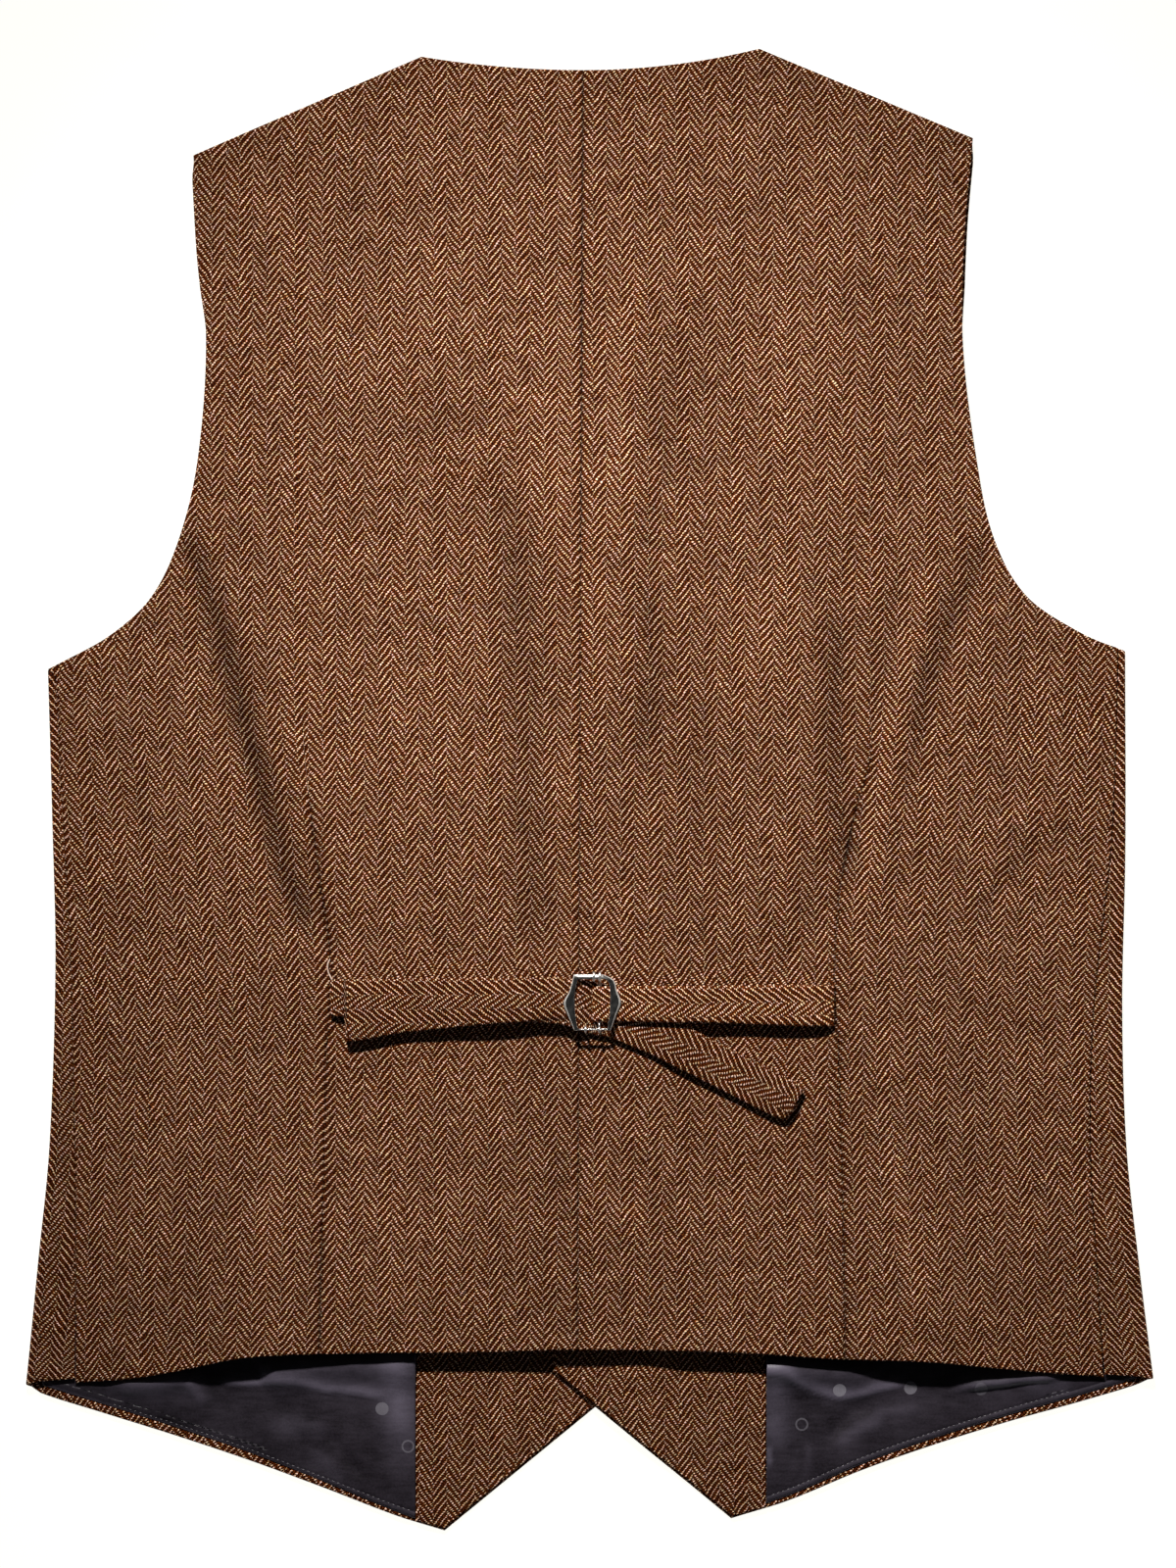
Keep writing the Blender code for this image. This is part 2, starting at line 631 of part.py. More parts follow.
def strap(name, table, trees, material):
    """A cinch strap along its rows, lifted off the back between its ends."""
    rows = []
    for place in table:
        row = []
        for column in range(STRAP_COLUMNS + 1):
            part = column / STRAP_COLUMNS
            x, y = mix(place.top_x, place.low_x, part), mix(place.top_y, place.low_y, part)
            height = height_on(trees, x, y, around=STRAP_STIFFNESS) + place.lift + STRAP_WALL
            row.append(Vector((x, y, height)))
        rows.append(row)
    return make_sheet(name, rows, STRAP_WALL, material)


def buckle_base(trees):
    """Height of the back under the buckle."""
    return height_on(trees, BUCKLE_CENTRE[0], BUCKLE_CENTRE[1], around=BUCKLE_REACH)


def buckle_frame(trees, material):
    """A flat metal ring with wide sides, over both straps."""
    low = buckle_base(trees) + BUCKLE_OVER_BACK
    mesh = bpy.data.meshes.new("buckle_frame")
    bm = bmesh.new()
    rings = []
    for corner in BUCKLE:
        outer_x, outer_y = BUCKLE_CENTRE[0] + corner.outer_x, BUCKLE_CENTRE[1] + corner.outer_y
        inner_x, inner_y = BUCKLE_CENTRE[0] + corner.inner_x, BUCKLE_CENTRE[1] + corner.inner_y
        section = (
            (outer_x, outer_y, low),
            (outer_x, outer_y, low + BUCKLE_THICK),
            (inner_x, inner_y, low + BUCKLE_THICK),
            (inner_x, inner_y, low),
        )
        rings.append([bm.verts.new(Vector(point) * MM) for point in section])
    for ring, following in zip(rings, rings[1:] + rings[:1]):
        for i in range(4):
            j = (i + 1) % 4
            bm.faces.new((ring[i], ring[j], following[j], following[i]))
    bmesh.ops.recalc_face_normals(bm, faces=bm.faces[:])
    bm.to_mesh(mesh)
    bm.free()
    frame = bpy.data.objects.new("buckle_frame", mesh)
    bpy.context.collection.objects.link(frame)
    mesh.materials.append(material)
    bevel = frame.modifiers.new("Worn edges", "BEVEL")
    bevel.width = BUCKLE_WORN_EDGE * MM
    bevel.segments = 1
    return frame


def buckle_bar(bar, trees, material):
    """A wire across the frame, its ends turned up to the frame's top and bottom bars."""
    base = buckle_base(trees)
    level = base + bar.over_back
    under_frame = base + BUCKLE_OVER_BACK - GAP
    x = BUCKLE_CENTRE[0] + bar.x
    top_y, low_y = BUCKLE_CENTRE[1] + BAR_TOP_Y, BUCKLE_CENTRE[1] + BAR_LOW_Y
    places = (
        (x, top_y, under_frame),
        (x, top_y, level + BAR_TURN),
        (x, top_y - BAR_TURN, level),
        (x, low_y + BAR_TURN, level),
        (x, low_y, level + BAR_TURN),
        (x, low_y, under_frame),
    )
    curve = bpy.data.curves.new(bar.name, "CURVE")
    curve.dimensions = "3D"
    curve.bevel_depth = WIRE_RADIUS * MM
    curve.bevel_resolution = 1
    curve.use_fill_caps = True
    spline = curve.splines.new("POLY")
    spline.points.add(len(places) - 1)
    for point, place in zip(spline.points, places):
        point.co = (*(Vector(place) * MM), 1.0)
    curve.materials.append(material)
    wire = bpy.data.objects.new(bar.name, curve)
    bpy.context.collection.objects.link(wire)
    return wire


def button(number, material):
    """A sew-through button, face down on the surface, turned from its own profile."""
    spacing = (BUTTON_TOP_Y - BUTTON_LOW_Y) / (BUTTON_COUNT - 1)
    name = f"button_{number + 1}"
    mesh = bpy.data.meshes.new(name)
    bm = bmesh.new()
    verts = [bm.verts.new(Vector((spot.radius, 0.0, spot.height)) * MM) for spot in BUTTON_PROFILE]
    edges = [bm.edges.new(pair) for pair in zip(verts, verts[1:])]
    bmesh.ops.spin(bm, geom=verts + edges, cent=(0, 0, 0), axis=(0, 0, 1), angle=2 * math.pi,
                   steps=BUTTON_SIDES)
    bmesh.ops.remove_doubles(bm, verts=bm.verts[:], dist=0.00001)
    bmesh.ops.recalc_face_normals(bm, faces=bm.faces[:])
    bm.to_mesh(mesh)
    bm.free()
    piece = bpy.data.objects.new(name, mesh)
    piece.location = (LAP_CENTRE_X * MM, (BUTTON_TOP_Y - spacing * number) * MM, 0.0)
    bpy.context.collection.objects.link(piece)
    mesh.materials.append(material)
    return piece


def build():
    remove_everything()
    tweed = make_material("tweed", (0.27, 0.15, 0.085), 0.88)
    satin = make_material("lining satin", (0.045, 0.038, 0.05), 0.42)
    steel = make_material("buckle steel", (0.62, 0.60, 0.57), 0.22, metallic=1.0)
    horn = make_material("button horn", (0.07, 0.035, 0.02), 0.35)

    for side in (-1, 1):
        front = front_panel(side, tweed)
        inside = surface_of(front)
        facing(side, inside, tweed)
        lining(side, inside, satin)
    for number in range(BUTTON_COUNT):
        button(number, horn)

    halves = surface_of(back_half(-1, tweed), back_half(1, tweed))
    strap("strap_left", LEFT_STRAP, halves, tweed)
    strap("strap_right", RIGHT_STRAP, halves, tweed)
    buckle_frame(halves, steel)
    for bar in BUCKLE_BARS:
        buckle_bar(bar, halves, steel)


build()
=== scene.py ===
import math

import bmesh
import bpy
import numpy as np
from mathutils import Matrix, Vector
from mathutils.kdtree import KDTree


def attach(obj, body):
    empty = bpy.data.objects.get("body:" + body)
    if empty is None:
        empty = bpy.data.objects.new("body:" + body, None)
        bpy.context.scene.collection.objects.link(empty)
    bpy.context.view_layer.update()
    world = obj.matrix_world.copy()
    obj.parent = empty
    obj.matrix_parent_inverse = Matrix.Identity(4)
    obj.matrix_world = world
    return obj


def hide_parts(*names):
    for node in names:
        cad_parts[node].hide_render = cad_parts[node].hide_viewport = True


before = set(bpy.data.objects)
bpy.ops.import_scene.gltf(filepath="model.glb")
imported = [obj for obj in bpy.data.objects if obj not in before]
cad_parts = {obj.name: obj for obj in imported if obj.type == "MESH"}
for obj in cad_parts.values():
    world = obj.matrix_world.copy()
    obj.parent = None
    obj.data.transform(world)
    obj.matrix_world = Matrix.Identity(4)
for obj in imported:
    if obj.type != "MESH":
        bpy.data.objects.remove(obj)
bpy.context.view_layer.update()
mm = 0.001
left, right = -1, 1
both = (left, right)

# The garment as it lies back up: +x right, +y to the neck, everything here in millimetres.
garment = {
    "gap": 0.3, "frontWall": 1.5, "backWall": 1.8, "facingWall": 1.1, "liningWall": 1, "strapWall": 2,
    "foldHeight": 4.6, "centreTop": (-3.1, 347.3), "centreHem": (-5.9, -269.7), "seamLength": 616.4,
    "neckPoint": {left: (-81.1, 353.8), right: (82, 357.6)},
    "shoulderTip": {left: (-191.2, 306.1), right: (185.1, 314.4)},
    "sideFold": {  # (y, x) from the hem up to the underarm
        left: [(-288.6, -272.2), (-229, -266.4), (-172.3, -260.9), (-85, -258), (-15, -259.5),
               (57.9, -261.6)],
        right: [(-285.2, 272.4), (-229, 265.4), (-172.3, 259.4), (-105, 257.4), (-30, 258.9), (66.9, 258.8)],
    },
    "armhole": {  # (y, x) from the underarm up to the shoulder
        left: [(57.9, -261.6), (73.5, -232.8), (92.4, -212), (120.8, -198.3), (158.6, -189.3),
               (215.3, -185.1), (262.6, -188.8), (306.1, -191.2)],
        right: [(66.9, 258.8), (73.9, 240.4), (92.4, 212), (120.8, 195.5), (158.6, 187), (215.3, 180.3),
                (266, 181), (314.4, 185.1)],
    },
    "seamInset": {  # (y, distance of the side seam from the fold)
        left: [(-288, 24), (-229, 18.5), (-172, 12.5), (-115, 9), (-20, 5.5), (60, 3.6)],
        right: [(-286, 24), (-229, 20.5), (-172, 17.5), (-115, 14.5), (-20, 6.5), (60, 3.6)],
    },
    "backHem": [  # (x, y, height of the upper face)
        (-271.6, -286.4, 5), (-243, -285.8, 5.6), (-221.5, -284.2, 8.2), (-198.3, -280.1, 11.6),
        (-165, -273.4, 14.6), (-113.2, -271.6, 12.2), (-57.4, -271.1, 12), (-5.9, -269.7, 13.8),
        (68.3, -271.1, 12.4), (118.9, -274.2, 13), (163, -275.5, 14.8), (200, -279.3, 10.2),
        (236, -282.6, 6.4), (271.6, -284.3, 5)],
    "frontHem": {  # (x, y) from the side to the point
        left: [(-269.7, -288.6), (-265, -291.8), (-234.7, -301.4), (-199.2, -312.5), (-163.8, -324.4),
               (-128.3, -337.5), (-92.9, -351.1), (-70, -358.2)],
        right: [(269.9, -285.2), (264, -287.8), (238, -295.6), (202.5, -305.5), (167.1, -316.5),
                (131.6, -329), (96.2, -343.6), (68.5, -352.3)],
    },
    "frontEdge": {  # (x, y) from the point up the lap and the V to the neck
        left: [(-70, -358.2), (21, -283.6), (21, 45), (-81.1, 353.8)],
        right: [(68.5, -352.3), (-17.7, -281.2), (-17.7, 45), (82, 357.6)],
    },
    "facingSeam": {left: -83.9, right: 85.3},
    "turnedHem": {  # (x, width of the tweed that shows below the lining)
        left: [(-272, 4.6), (-180, 4.3), (-140, 3.6), (-84, 2)],
        right: [(85, 2.6), (150, 3.4), (272, 3.4)],
    },
    "dart": {  # (y, x); its stitched line ends at dartTip and the line above it only guides the mesh
        left: [(-290, -130.6), (-272, -130.2), (-186.5, -128.3), (-127.4, -126.9), (-84.9, -125),
               (-28.1, -132.1), (20, -137.5), (120, -141), (240, -139), (340, -136)],
        right: [(-290, 123.5), (-274.4, 123.1), (-186.5, 122.2), (-115.6, 119.8), (-84.9, 118.4),
                (-43.3, 121.7), (-2.6, 130.7), (15.4, 135.9), (60, 134.5), (150, 133), (340, 131)],
    },
    "dartTip": {left: 8, right: 36},
    "dartTake": [(-290, 5), (-200, 8), (-100, 10), (-40, 6.5), (0, 3), (45, 0), (360, 0)],
    "insideTop": -254,
}

lap = {  # how the fronts lap under the back: where, how wide, how high over the buttons
    "centre": 1.65, "out": 22.5, "down": 54, "endY": 112, "fadeY": 160, "slack": 0.3, "layer": 1.4,
    "buttonTop": 24, "buttonLow": -220, "buttons": 5, "stepY": (-190, -225),
    "ridgeOut": (11, 34), "ridgeLift": 2.6, "ridgeLow": (-241, -230), "ridgeTop": (40, 62),
}

# Creases of the back: spread to the left and right of the path, height, painted highlight (+) or painted shade
# (-) that makes the cloth look paler or darker along it, fade at the start and the end, and then the path
# itself.
creases = [
    (6, 6.6, -3.2, -0.46, 0.1, 0.12, (-197, 130), (-190, 113), (-178, 78), (-168, 40), (-158, 3), (-149, -29),
     (-140, -58), (-134, -80)),  # left trough
    (14, 16, -0.7, -0.08, 0.3, 0.2, (-186, 108), (-168, 50), (-154, -5), (-138, -58),
     (-122, -86)),  # left trough sides
    (13, 12, 1.3, 0.06, 0.3, 0.2, (-168, 122), (-146, 70), (-134, 20), (-126, -30),
     (-116, -72)),  # left trough inner swell
    (10, 12, 1.2, 0.05, 0.3, 0.3, (-208, 92), (-190, 44), (-176, -4), (-160, -52),
     (-144, -86)),  # left trough outer swell
    (3.2, 4, -0.9, -0.14, 0.3, 0.12, (-134, 6), (-133, -20), (-130, -54), (-121, -84)),  # left dart pull
    (10.5, 12, -2.8, -0.23, 0.28, 0.1, (-50, 196), (-43, 160), (-37, 128), (-34, 100), (-32, 65), (-29, 28),
     (-29, -10), (-27, -48), (-23, -90)),  # centre left
    (8, 11, -1.5, -0.12, 0.3, 0.35, (56, 255), (46, 198), (37, 166), (33, 128), (28, 97), (31, 53), (25, 20),
     (20, -10), (16, -60)),  # centre right
    (18, 22, -0.9, -0.11, 0.3, 0.3, (64, 236), (50, 180), (42, 128)),  # centre right hollow
    (8, 9, -0.8, -0.2, 0.25, 0.25, (29, 108), (33, 62), (28, 2)),  # centre right low
    (4, 4, 0.3, 0.1, 0.3, 0.3, (-14, 176), (-13, 140), (-12, 100)),  # left of the seam
    (4, 4, 0.3, 0.1, 0.3, 0.3, (14, 184), (12, 145), (11, 104)),  # right of the seam
    (8, 9, 0.9, 0.06, 0.35, 0.3, (-9, 216), (-8, 150), (-4, 60), (-4, 0), (-6, -60)),  # centre ridge
    (9, 10, 0.8, 0.11, 0.25, 0.4, (24, 272), (24, 232), (18, 196), (12, 150), (8, 100)),  # centre ridge right
    (8, 13, -1.2, -0.12, 0.3, 0.25, (-146, 203), (-124, 186), (-95, 171), (-64, 175),
     (-42, 163)),  # left blade
    (26, 24, 1.2, 0.07, 0.4, 0.35, (-88, 268), (-76, 230), (-64, 196)),  # blade swell
    (22, 22, 1, 0.05, 0.4, 0.4, (104, 250), (96, 200), (92, 150)),  # right blade swell
    (20, 20, 0.9, 0.05, 0.35, 0.35, (-84, 130), (-80, 60), (-76, -10), (-72, -60)),  # left mid swell
    (20, 20, 1, 0.13, 0.3, 0.35, (74, 112), (84, 66), (80, 6)),  # right mid swell
    (7.2, 6.8, -2.5, -0.32, 0.2, 0.25, (121, 94), (119, 60), (118, 28), (121, -12), (125, -40),
     (125, -62)),  # right dart trough
    (8, 8, -0.6, -0.12, 0.15, 0.4, (84, -92), (102, -66), (112, -30)),  # above the right strap
    (5.5, 6, 2, 0.1, 0.25, 0.2, (168, 116), (152, 52), (145, 9), (139, -30), (130, -80)),  # right ridge
    (5, 5, -0.9, -0.13, 0.25, 0.35, (152, 118), (144, 74), (136, 26), (132, -10)),  # right inner trough
    (6.4, 5.4, -2.3, -0.35, 0.14, 0.4, (195, 130), (187, 112), (174, 80), (163, 46), (157, 14),
     (151, -20)),  # right outer trough
    (4.4, 4, -1.3, -0.13, 0.2, 0.4, (243, -17), (225, -25), (205, -38), (190, -60),
     (184, -80)),  # right flank curl
    (12, 12, 0.8, 0.04, 0.35, 0.45, (242, 4), (214, -10), (190, -38), (172, -86)),  # right flank swell
    (5.4, 6, 1.6, 0.17, 0.4, 0.08, (140, -150), (148, -180), (157, -225), (163, -264)),  # right low ridge
    (12, 14, -1, -0.08, 0.4, 0.25, (178, -150), (184, -200), (190, -256)),  # right low trough
    (6, 5.6, 1.4, 0.15, 0.4, 0.08, (-148, -176), (-156, -226), (-163, -266)),  # left low ridge
    (12, 10, -0.9, -0.06, 0.4, 0.2, (-183, -170), (-190, -222), (-194, -270)),  # left low trough
    (9, 12, -0.9, -0.06, 0.3, 0.5, (-240, 34), (-222, 4), (-206, -40), (-200, -96)),  # left flank
    (9, 9, -0.6, -0.05, 0.3, 0.4, (-248, -52), (-224, -70), (-196, -76), (-160, -84)),  # left waist
    (9, 8, -0.6, -0.05, 0.3, 0.4, (242, -128), (214, -122), (186, -110), (150, -104)),  # right waist
    (7, 5, -0.6, -0.07, 0.3, 0.4, (-13, -134), (-15, -180), (-17, -236)),  # low centre
    (6, 6, -0.7, -0.05, 0.25, 0.5, (206, 96), (186, 92), (160, 78)),  # right armhole pull
    (12, 12, -0.6, -0.05, 0.4, 0.5, (-176, 262), (-140, 250), (-104, 262)),  # left shoulder
    (12, 12, -0.6, -0.05, 0.4, 0.5, (168, 250), (130, 238), (92, 246)),  # right shoulder
]

backForm = {  # how the back's cloth stands, and the painted shade on it, besides its creases
    "seamPaintedShade": (0.26, 0.50), "seamPaintedShadeUp": (100, 150), "seamPaintedShadeWide": 1.2, "seamDeep": 0.3, "seamWide": 1.3,
    "dartPaintedShade": ((0.40, 1.1), (0.10, 4)), "dartSwell": (0.22, 3.4), "dartHollow": (0.75, 0.55), "dartFade": 30,
    "hemPaintedShade": 0.06, "hemPaintedShadeOver": ((95, 60), (5, 17)), "hemRise": 95,
    "foldSpread": 20, "loft": 0.9, "loftIn": (30, 80), "loftTop": (380, 300), "lapOut": (22, 64),
    "lapTop": (200, 125), "reliefIn": (2, 18), "relief": 0.6, "waves": ((62, 0.34), (21, 0.11)), "press": 0.05,
}


def ease(start, end, value):
    part = np.clip((value - start) / (end - start), 0.0, 1.0)
    return part * part * (3.0 - 2.0 * part)


def mix(a, b, part):
    return a + (b - a) * part


# A soft ridge of height 1 on a line, fading with the distance from it.
def bell(off, spread):
    return np.exp(-(off / spread) ** 2)


# Smooth curve through rising keys; each slope comes from the keys beside it.
def through(keys, values, at):
    keys, values = np.asarray(keys, float), np.asarray(values, float)
    at = np.clip(np.asarray(at, float), keys[0], keys[-1])
    last = len(keys) - 1
    low, high = np.maximum(np.arange(last + 1) - 1, 0), np.minimum(np.arange(last + 1) + 1, last)
    slopes = (values[high] - values[low]) / (keys[high] - keys[low])
    i = np.clip(np.searchsorted(keys, at, side="right") - 1, 0, last - 1)
    width = keys[i + 1] - keys[i]
    u = (at - keys[i]) / width
    return (values[i] * (1 + 2 * u) * (1 - u) ** 2 + slopes[i] * width * u * (1 - u) ** 2
            + values[i + 1] * u * u * (3 - 2 * u) + slopes[i + 1] * width * u * u * (u - 1))


def fromTable(table, at, column=1):
    ordered = sorted(table)
    return through([row[0] for row in ordered], [row[column] for row in ordered], at)


def foldX(side, y):
    return fromTable(garment["sideFold"][side], y)


def dartX(side, y):
    return fromTable(garment["dart"][side], y)


def seamInset(side, y):
    return fromTable(garment["seamInset"][side], y)


def hemY(side, x):
    return fromTable(garment["frontHem"][side], x)


def turnedHem(side, x):
    return fromTable(garment["turnedHem"][side], x)


def foldHeight(y):
    return garment["foldHeight"] + 0.5 * ease(*lap["stepY"], y)


# The fronts' faces and their lap's second layer, which the back lies on.
overFront = garment["frontWall"] + garment["gap"]


def lapLayer(y):
    return lap["layer"] * ease(*lap["stepY"], y)


# Height of a front's outer face, which lies down; the right front laps over the left one.
def frontUnder(side, x, y):
    ends = ease(*lap["ridgeLow"], y) * (1.0 - ease(*lap["ridgeTop"], y))
    near = 1.0 - ease(*lap["ridgeOut"], np.abs(x - lap["centre"]))
    ridge = lap["ridgeLift"] * near * ends
    if side == left:
        return ridge
    step = overFront + lap["slack"] * ridge / lap["ridgeLift"] + lapLayer(y)
    return ridge + step * ease(lap["fadeY"], lap["endY"], y) * (1.0 - ease(lap["out"], lap["down"], x))


# A path made round between its points.
def rounded(path, steps=6):
    points = np.array(path, float)
    at = np.arange(len(points))
    fine = np.linspace(0, len(points) - 1, (len(points) - 1) * steps + 1)
    return np.stack([through(at, points[:, k], fine) for k in range(points.shape[1])], axis=-1)


# Signed distance from a path, + on its left, and how far along it the nearest place is.
def besidePath(x, y, path):
    points = rounded(path)
    lengths = np.hypot(*np.diff(points, axis=0).T)
    total, before = lengths.sum(), 0.0
    best, off, along = np.full(x.shape, 1e18), np.zeros(x.shape), np.zeros(x.shape)
    for (ax, ay), (bx, by), length in zip(points, points[1:], lengths):
        dx, dy = (bx - ax) / length, (by - ay) / length
        t = np.clip((x - ax) * dx + (y - ay) * dy, 0.0, length)
        ex, ey = x - ax - t * dx, y - ay - t * dy
        far = ex * ex + ey * ey
        near = far < best
        best = np.where(near, far, best)
        off = np.where(near, np.sign(dx * ey - dy * ex) * np.sqrt(far), off)
        along = np.where(near, (before + t) / total, along)
        before += length
    return off, along


# What a set of creases adds up to at each place: their height, or their painted shade and highlight.
def creased(x, y, lines, tone=False):
    total = np.zeros(np.shape(x))
    for onLeft, onRight, high, paintedLight, fadeIn, fadeOut, *path in lines:
        off, along = besidePath(x, y, path)
        ends = ease(0.0, fadeIn, along) * ease(1.0, 1.0 - fadeOut, along)
        total = total + (paintedLight if tone else high) * bell(off, np.where(off > 0, onLeft, onRight)) * ends
    return total


# Small unevenness of laid cloth, from a few crossing waves: slope in x, slope in y, start.
def unevenness(x, y, size, height):
    waves = ((1.0, 0.31, 0.4), (-0.42, 0.9, 1.9), (0.77, -0.64, 3.3), (0.23, 1.12, 5.1), (1.31, 0.58, 0.9))
    total = sum(np.sin((x * a + y * b) * 2 * math.pi / size + c + 1.7 * np.sin((x * b - y * a) / size + c))
                for a, b, c in waves)
    return total / len(waves) * height


def centreOff(x, y):
    (lowX, lowY), topX = garment["centreHem"], garment["centreTop"][0]
    return x - mix(lowX, topX, (y - lowY) / garment["seamLength"])


# How far a place is from a dart's line, and how firmly the dart is sewn there.
def besideDart(side, x, y):
    tip = garment["dartTip"][side]
    return x - dartX(side, y), ease(tip, tip - backForm["dartFade"], y)


# Painted shade and highlight on the back's cloth, paler (+) or darker (-), mostly along its creases and seams.
def backPaintedShading(x, y):
    look = backForm
    # painted shade in the centre seam's groove, stronger in its upper part
    seam = mix(*look["seamPaintedShade"], ease(*look["seamPaintedShadeUp"], y))
    tone = creased(x, y, creases, tone=True) - seam * bell(centreOff(x, y), look["seamPaintedShadeWide"])
    # painted shade in a band above the lifted hem
    aboveHem, (upper, lower) = y - fromTable(garment["backHem"], x), look["hemPaintedShadeOver"]
    tone = tone - look["hemPaintedShade"] * ease(*upper, aboveHem) * ease(*lower, aboveHem)
    # painted shade along the darts' sewn lines
    (dark, narrow), (shade, wide) = look["dartPaintedShade"]
    for side in both:
        off, sewn = besideDart(side, x, y)
        tone = tone - sewn * (dark * bell(off, narrow) + shade * bell(off, wide))
    return tone


# Height of the back's upper face, with its creases, the lifted hem and the sewn darts.
def backTop(x, y):
    look = backForm
    edge = np.where(x < garment["centreHem"][0], foldX(left, y), foldX(right, y))
    inFromFold = np.abs(edge - x)
    plain = overFront + garment["backWall"] + lapLayer(y)
    height = plain + (foldHeight(y) - plain) * bell(inFromFold, look["foldSpread"])
    height = height + look["loft"] * ease(*look["loftIn"], inFromFold) * ease(*look["loftTop"], y)
    under = overFront + lap["slack"] + lapLayer(y) + lap["ridgeLift"]
    overLap = 1.0 - ease(*look["lapOut"], np.abs(x - lap["centre"]))
    height = height + under * overLap * ease(*look["lapTop"], y)
    broad, fine = look["waves"]
    relief = creased(x, y, creases) + unevenness(x, y, *broad) + unevenness(y, x, *fine) + look["relief"]
    height = height + relief * ease(*look["reliefIn"], inFromFold)
    (swell, wide), (hollow, narrow) = look["dartSwell"], look["dartHollow"]
    for side in both:
        off, sewn = besideDart(side, x, y)
        height = height + sewn * (swell * bell(off, wide) - hollow * bell(off, narrow))
    height = np.maximum(height, plain - look["press"])
    height = height - look["seamDeep"] * bell(centreOff(x, y), look["seamWide"])
    atHem, hemHeight = (fromTable(garment["backHem"], x, column) for column in (1, 2))
    lifted = np.maximum(hemHeight + 0.25 * (relief - 0.35), height)
    return mix(height, lifted, ease(atHem + look["hemRise"], atHem, y))


# Places along a length, close together at the ends where the wall rounds over.
def spaced(length, step, start=True, end=True, close=(0.1, 0.28, 0.6, 1.1, 1.9)):
    low = [0.0, *close] if start else [0.0]
    high = [length - d for d in (0.0, *close)][::-1] if end else [length]
    count = max(int(round((high[0] - low[-1]) / step)), 1)
    return np.array([*low, *np.linspace(low[-1], high[0], count + 1)[1:-1], *high])


def unit(vectors):
    return vectors / np.maximum(np.linalg.norm(vectors, axis=-1, keepdims=True), 1e-9)


def intoScene(name, data):
    thing = bpy.data.objects.new(name, data)
    bpy.context.scene.collection.objects.link(thing)
    return thing


# Hangs a piece on the garment's root and hides the CAD parts that it stands for.
def finishPiece(piece, nodes=()):
    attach(piece, "root")
    if nodes:
        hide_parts(*nodes)
    return piece


# A cut piece as a wall of cloth from the grid of its middle: rounded edges, closed all round, with its own
# cloth measure. The grid is read backwards where turn is -1, so that its upper face looks up.
def clothPiece(kind, side, middle, measure, wall, outside, inside=None, turn=1, edge=0.9,
               insideWhere=None, tone=None):
    middle, measure, wall, insideWhere, tone = (
        part[:, ::turn] if isinstance(part, np.ndarray) else part
        for part in (np.stack(middle, axis=-1), np.stack(measure, axis=-1), wall, insideWhere, tone))
    rows, columns = middle.shape[:2]
    there = ~np.isnan(middle[..., 0])
    cell = there[:-1, :-1] & there[1:, :-1] & there[:-1, 1:] & there[1:, 1:]
    p = np.nan_to_num(middle)
    across = p[:-1, 1:] - p[:-1, :-1] + p[1:, 1:] - p[1:, :-1]
    upward = p[1:, :-1] - p[:-1, :-1] + p[1:, 1:] - p[:-1, 1:]
    faceNormal = unit(np.cross(across, upward) * cell[..., None])
    normal, used, rim = np.zeros_like(p), np.zeros((rows, columns), bool), np.zeros((rows, columns), bool)
    for r, c in ((0, 0), (0, 1), (1, 0), (1, 1)):
        corner = (slice(r, rows - 1 + r), slice(c, columns - 1 + c))
        normal[corner] += faceNormal
        used[corner] |= cell

    # the rim runs where a mesh line has cloth on one side only
    alongRow = np.pad(cell, ((0, 1), (0, 0))) ^ np.pad(cell, ((1, 0), (0, 0)))
    alongColumn = np.pad(cell, ((0, 0), (0, 1))) ^ np.pad(cell, ((0, 0), (1, 0)))
    rim[:, :-1] |= alongRow
    rim[:, 1:] |= alongRow
    rim[:-1] |= alongColumn
    rim[1:] |= alongColumn
    rimPoints = p[rim & used]
    tree = KDTree(len(rimPoints))
    for i, point in enumerate(rimPoints):
        tree.insert(point, i)
    tree.balance()
    inner = used & ~rim
    off = np.zeros((rows, columns))
    for r, c in zip(*np.nonzero(inner)):
        off[r, c] = tree.find(p[r, c])[2]
    full = np.sqrt(1.0 - (1.0 - np.clip(off / edge, 0.0, 1.0)) ** 2)
    reach = unit(normal) * (full * wall / 2)[..., None]

    upperId, lowerId = np.full((rows, columns), -1), np.full((rows, columns), -1)
    upperId[used] = np.arange(used.sum())
    lowerId[inner] = used.sum() + np.arange(inner.sum())
    lowerId[rim & used] = upperId[rim & used]
    points = np.concatenate([(p + reach)[used], (p - reach)[inner]]) * mm
    cloth = np.concatenate([measure[used], measure[inner]]) * mm
    upper, lower = (np.stack([ids[:-1, :-1], ids[:-1, 1:], ids[1:, 1:], ids[1:, :-1]], axis=-1)[cell]
                    for ids in (upperId, lowerId))
    faces = np.concatenate([upper, lower[:, ::-1]])
    name = kind + ("Left" if side == left else "Right")
    mesh = bpy.data.meshes.new(name)
    mesh.from_pydata(points.tolist(), [], faces.tolist())
    mesh.materials.append(outside)
    if inside is not None:
        mesh.materials.append(inside)
        slots = np.zeros(len(faces), int)
        slots[cell.sum():] = insideWhere[:-1, :-1][cell]
        mesh.polygons.foreach_set("material_index", slots)
    mesh.attributes.new("cloth", "FLOAT_VECTOR", "POINT").data.foreach_set("vector", cloth.ravel())
    # the tone is painted light for the materials: painted shade, painted highlight and painted sheen
    if tone is not None:
        tones = np.concatenate([tone[used], np.zeros(inner.sum())])
        mesh.attributes.new("tone", "FLOAT", "POINT").data.foreach_set("value", tones)
    mesh.shade_smooth()
    mesh.validate()
    node = kind + ("_left" if side == left else "_right")
    return finishPiece(intoScene(name, mesh), [node])


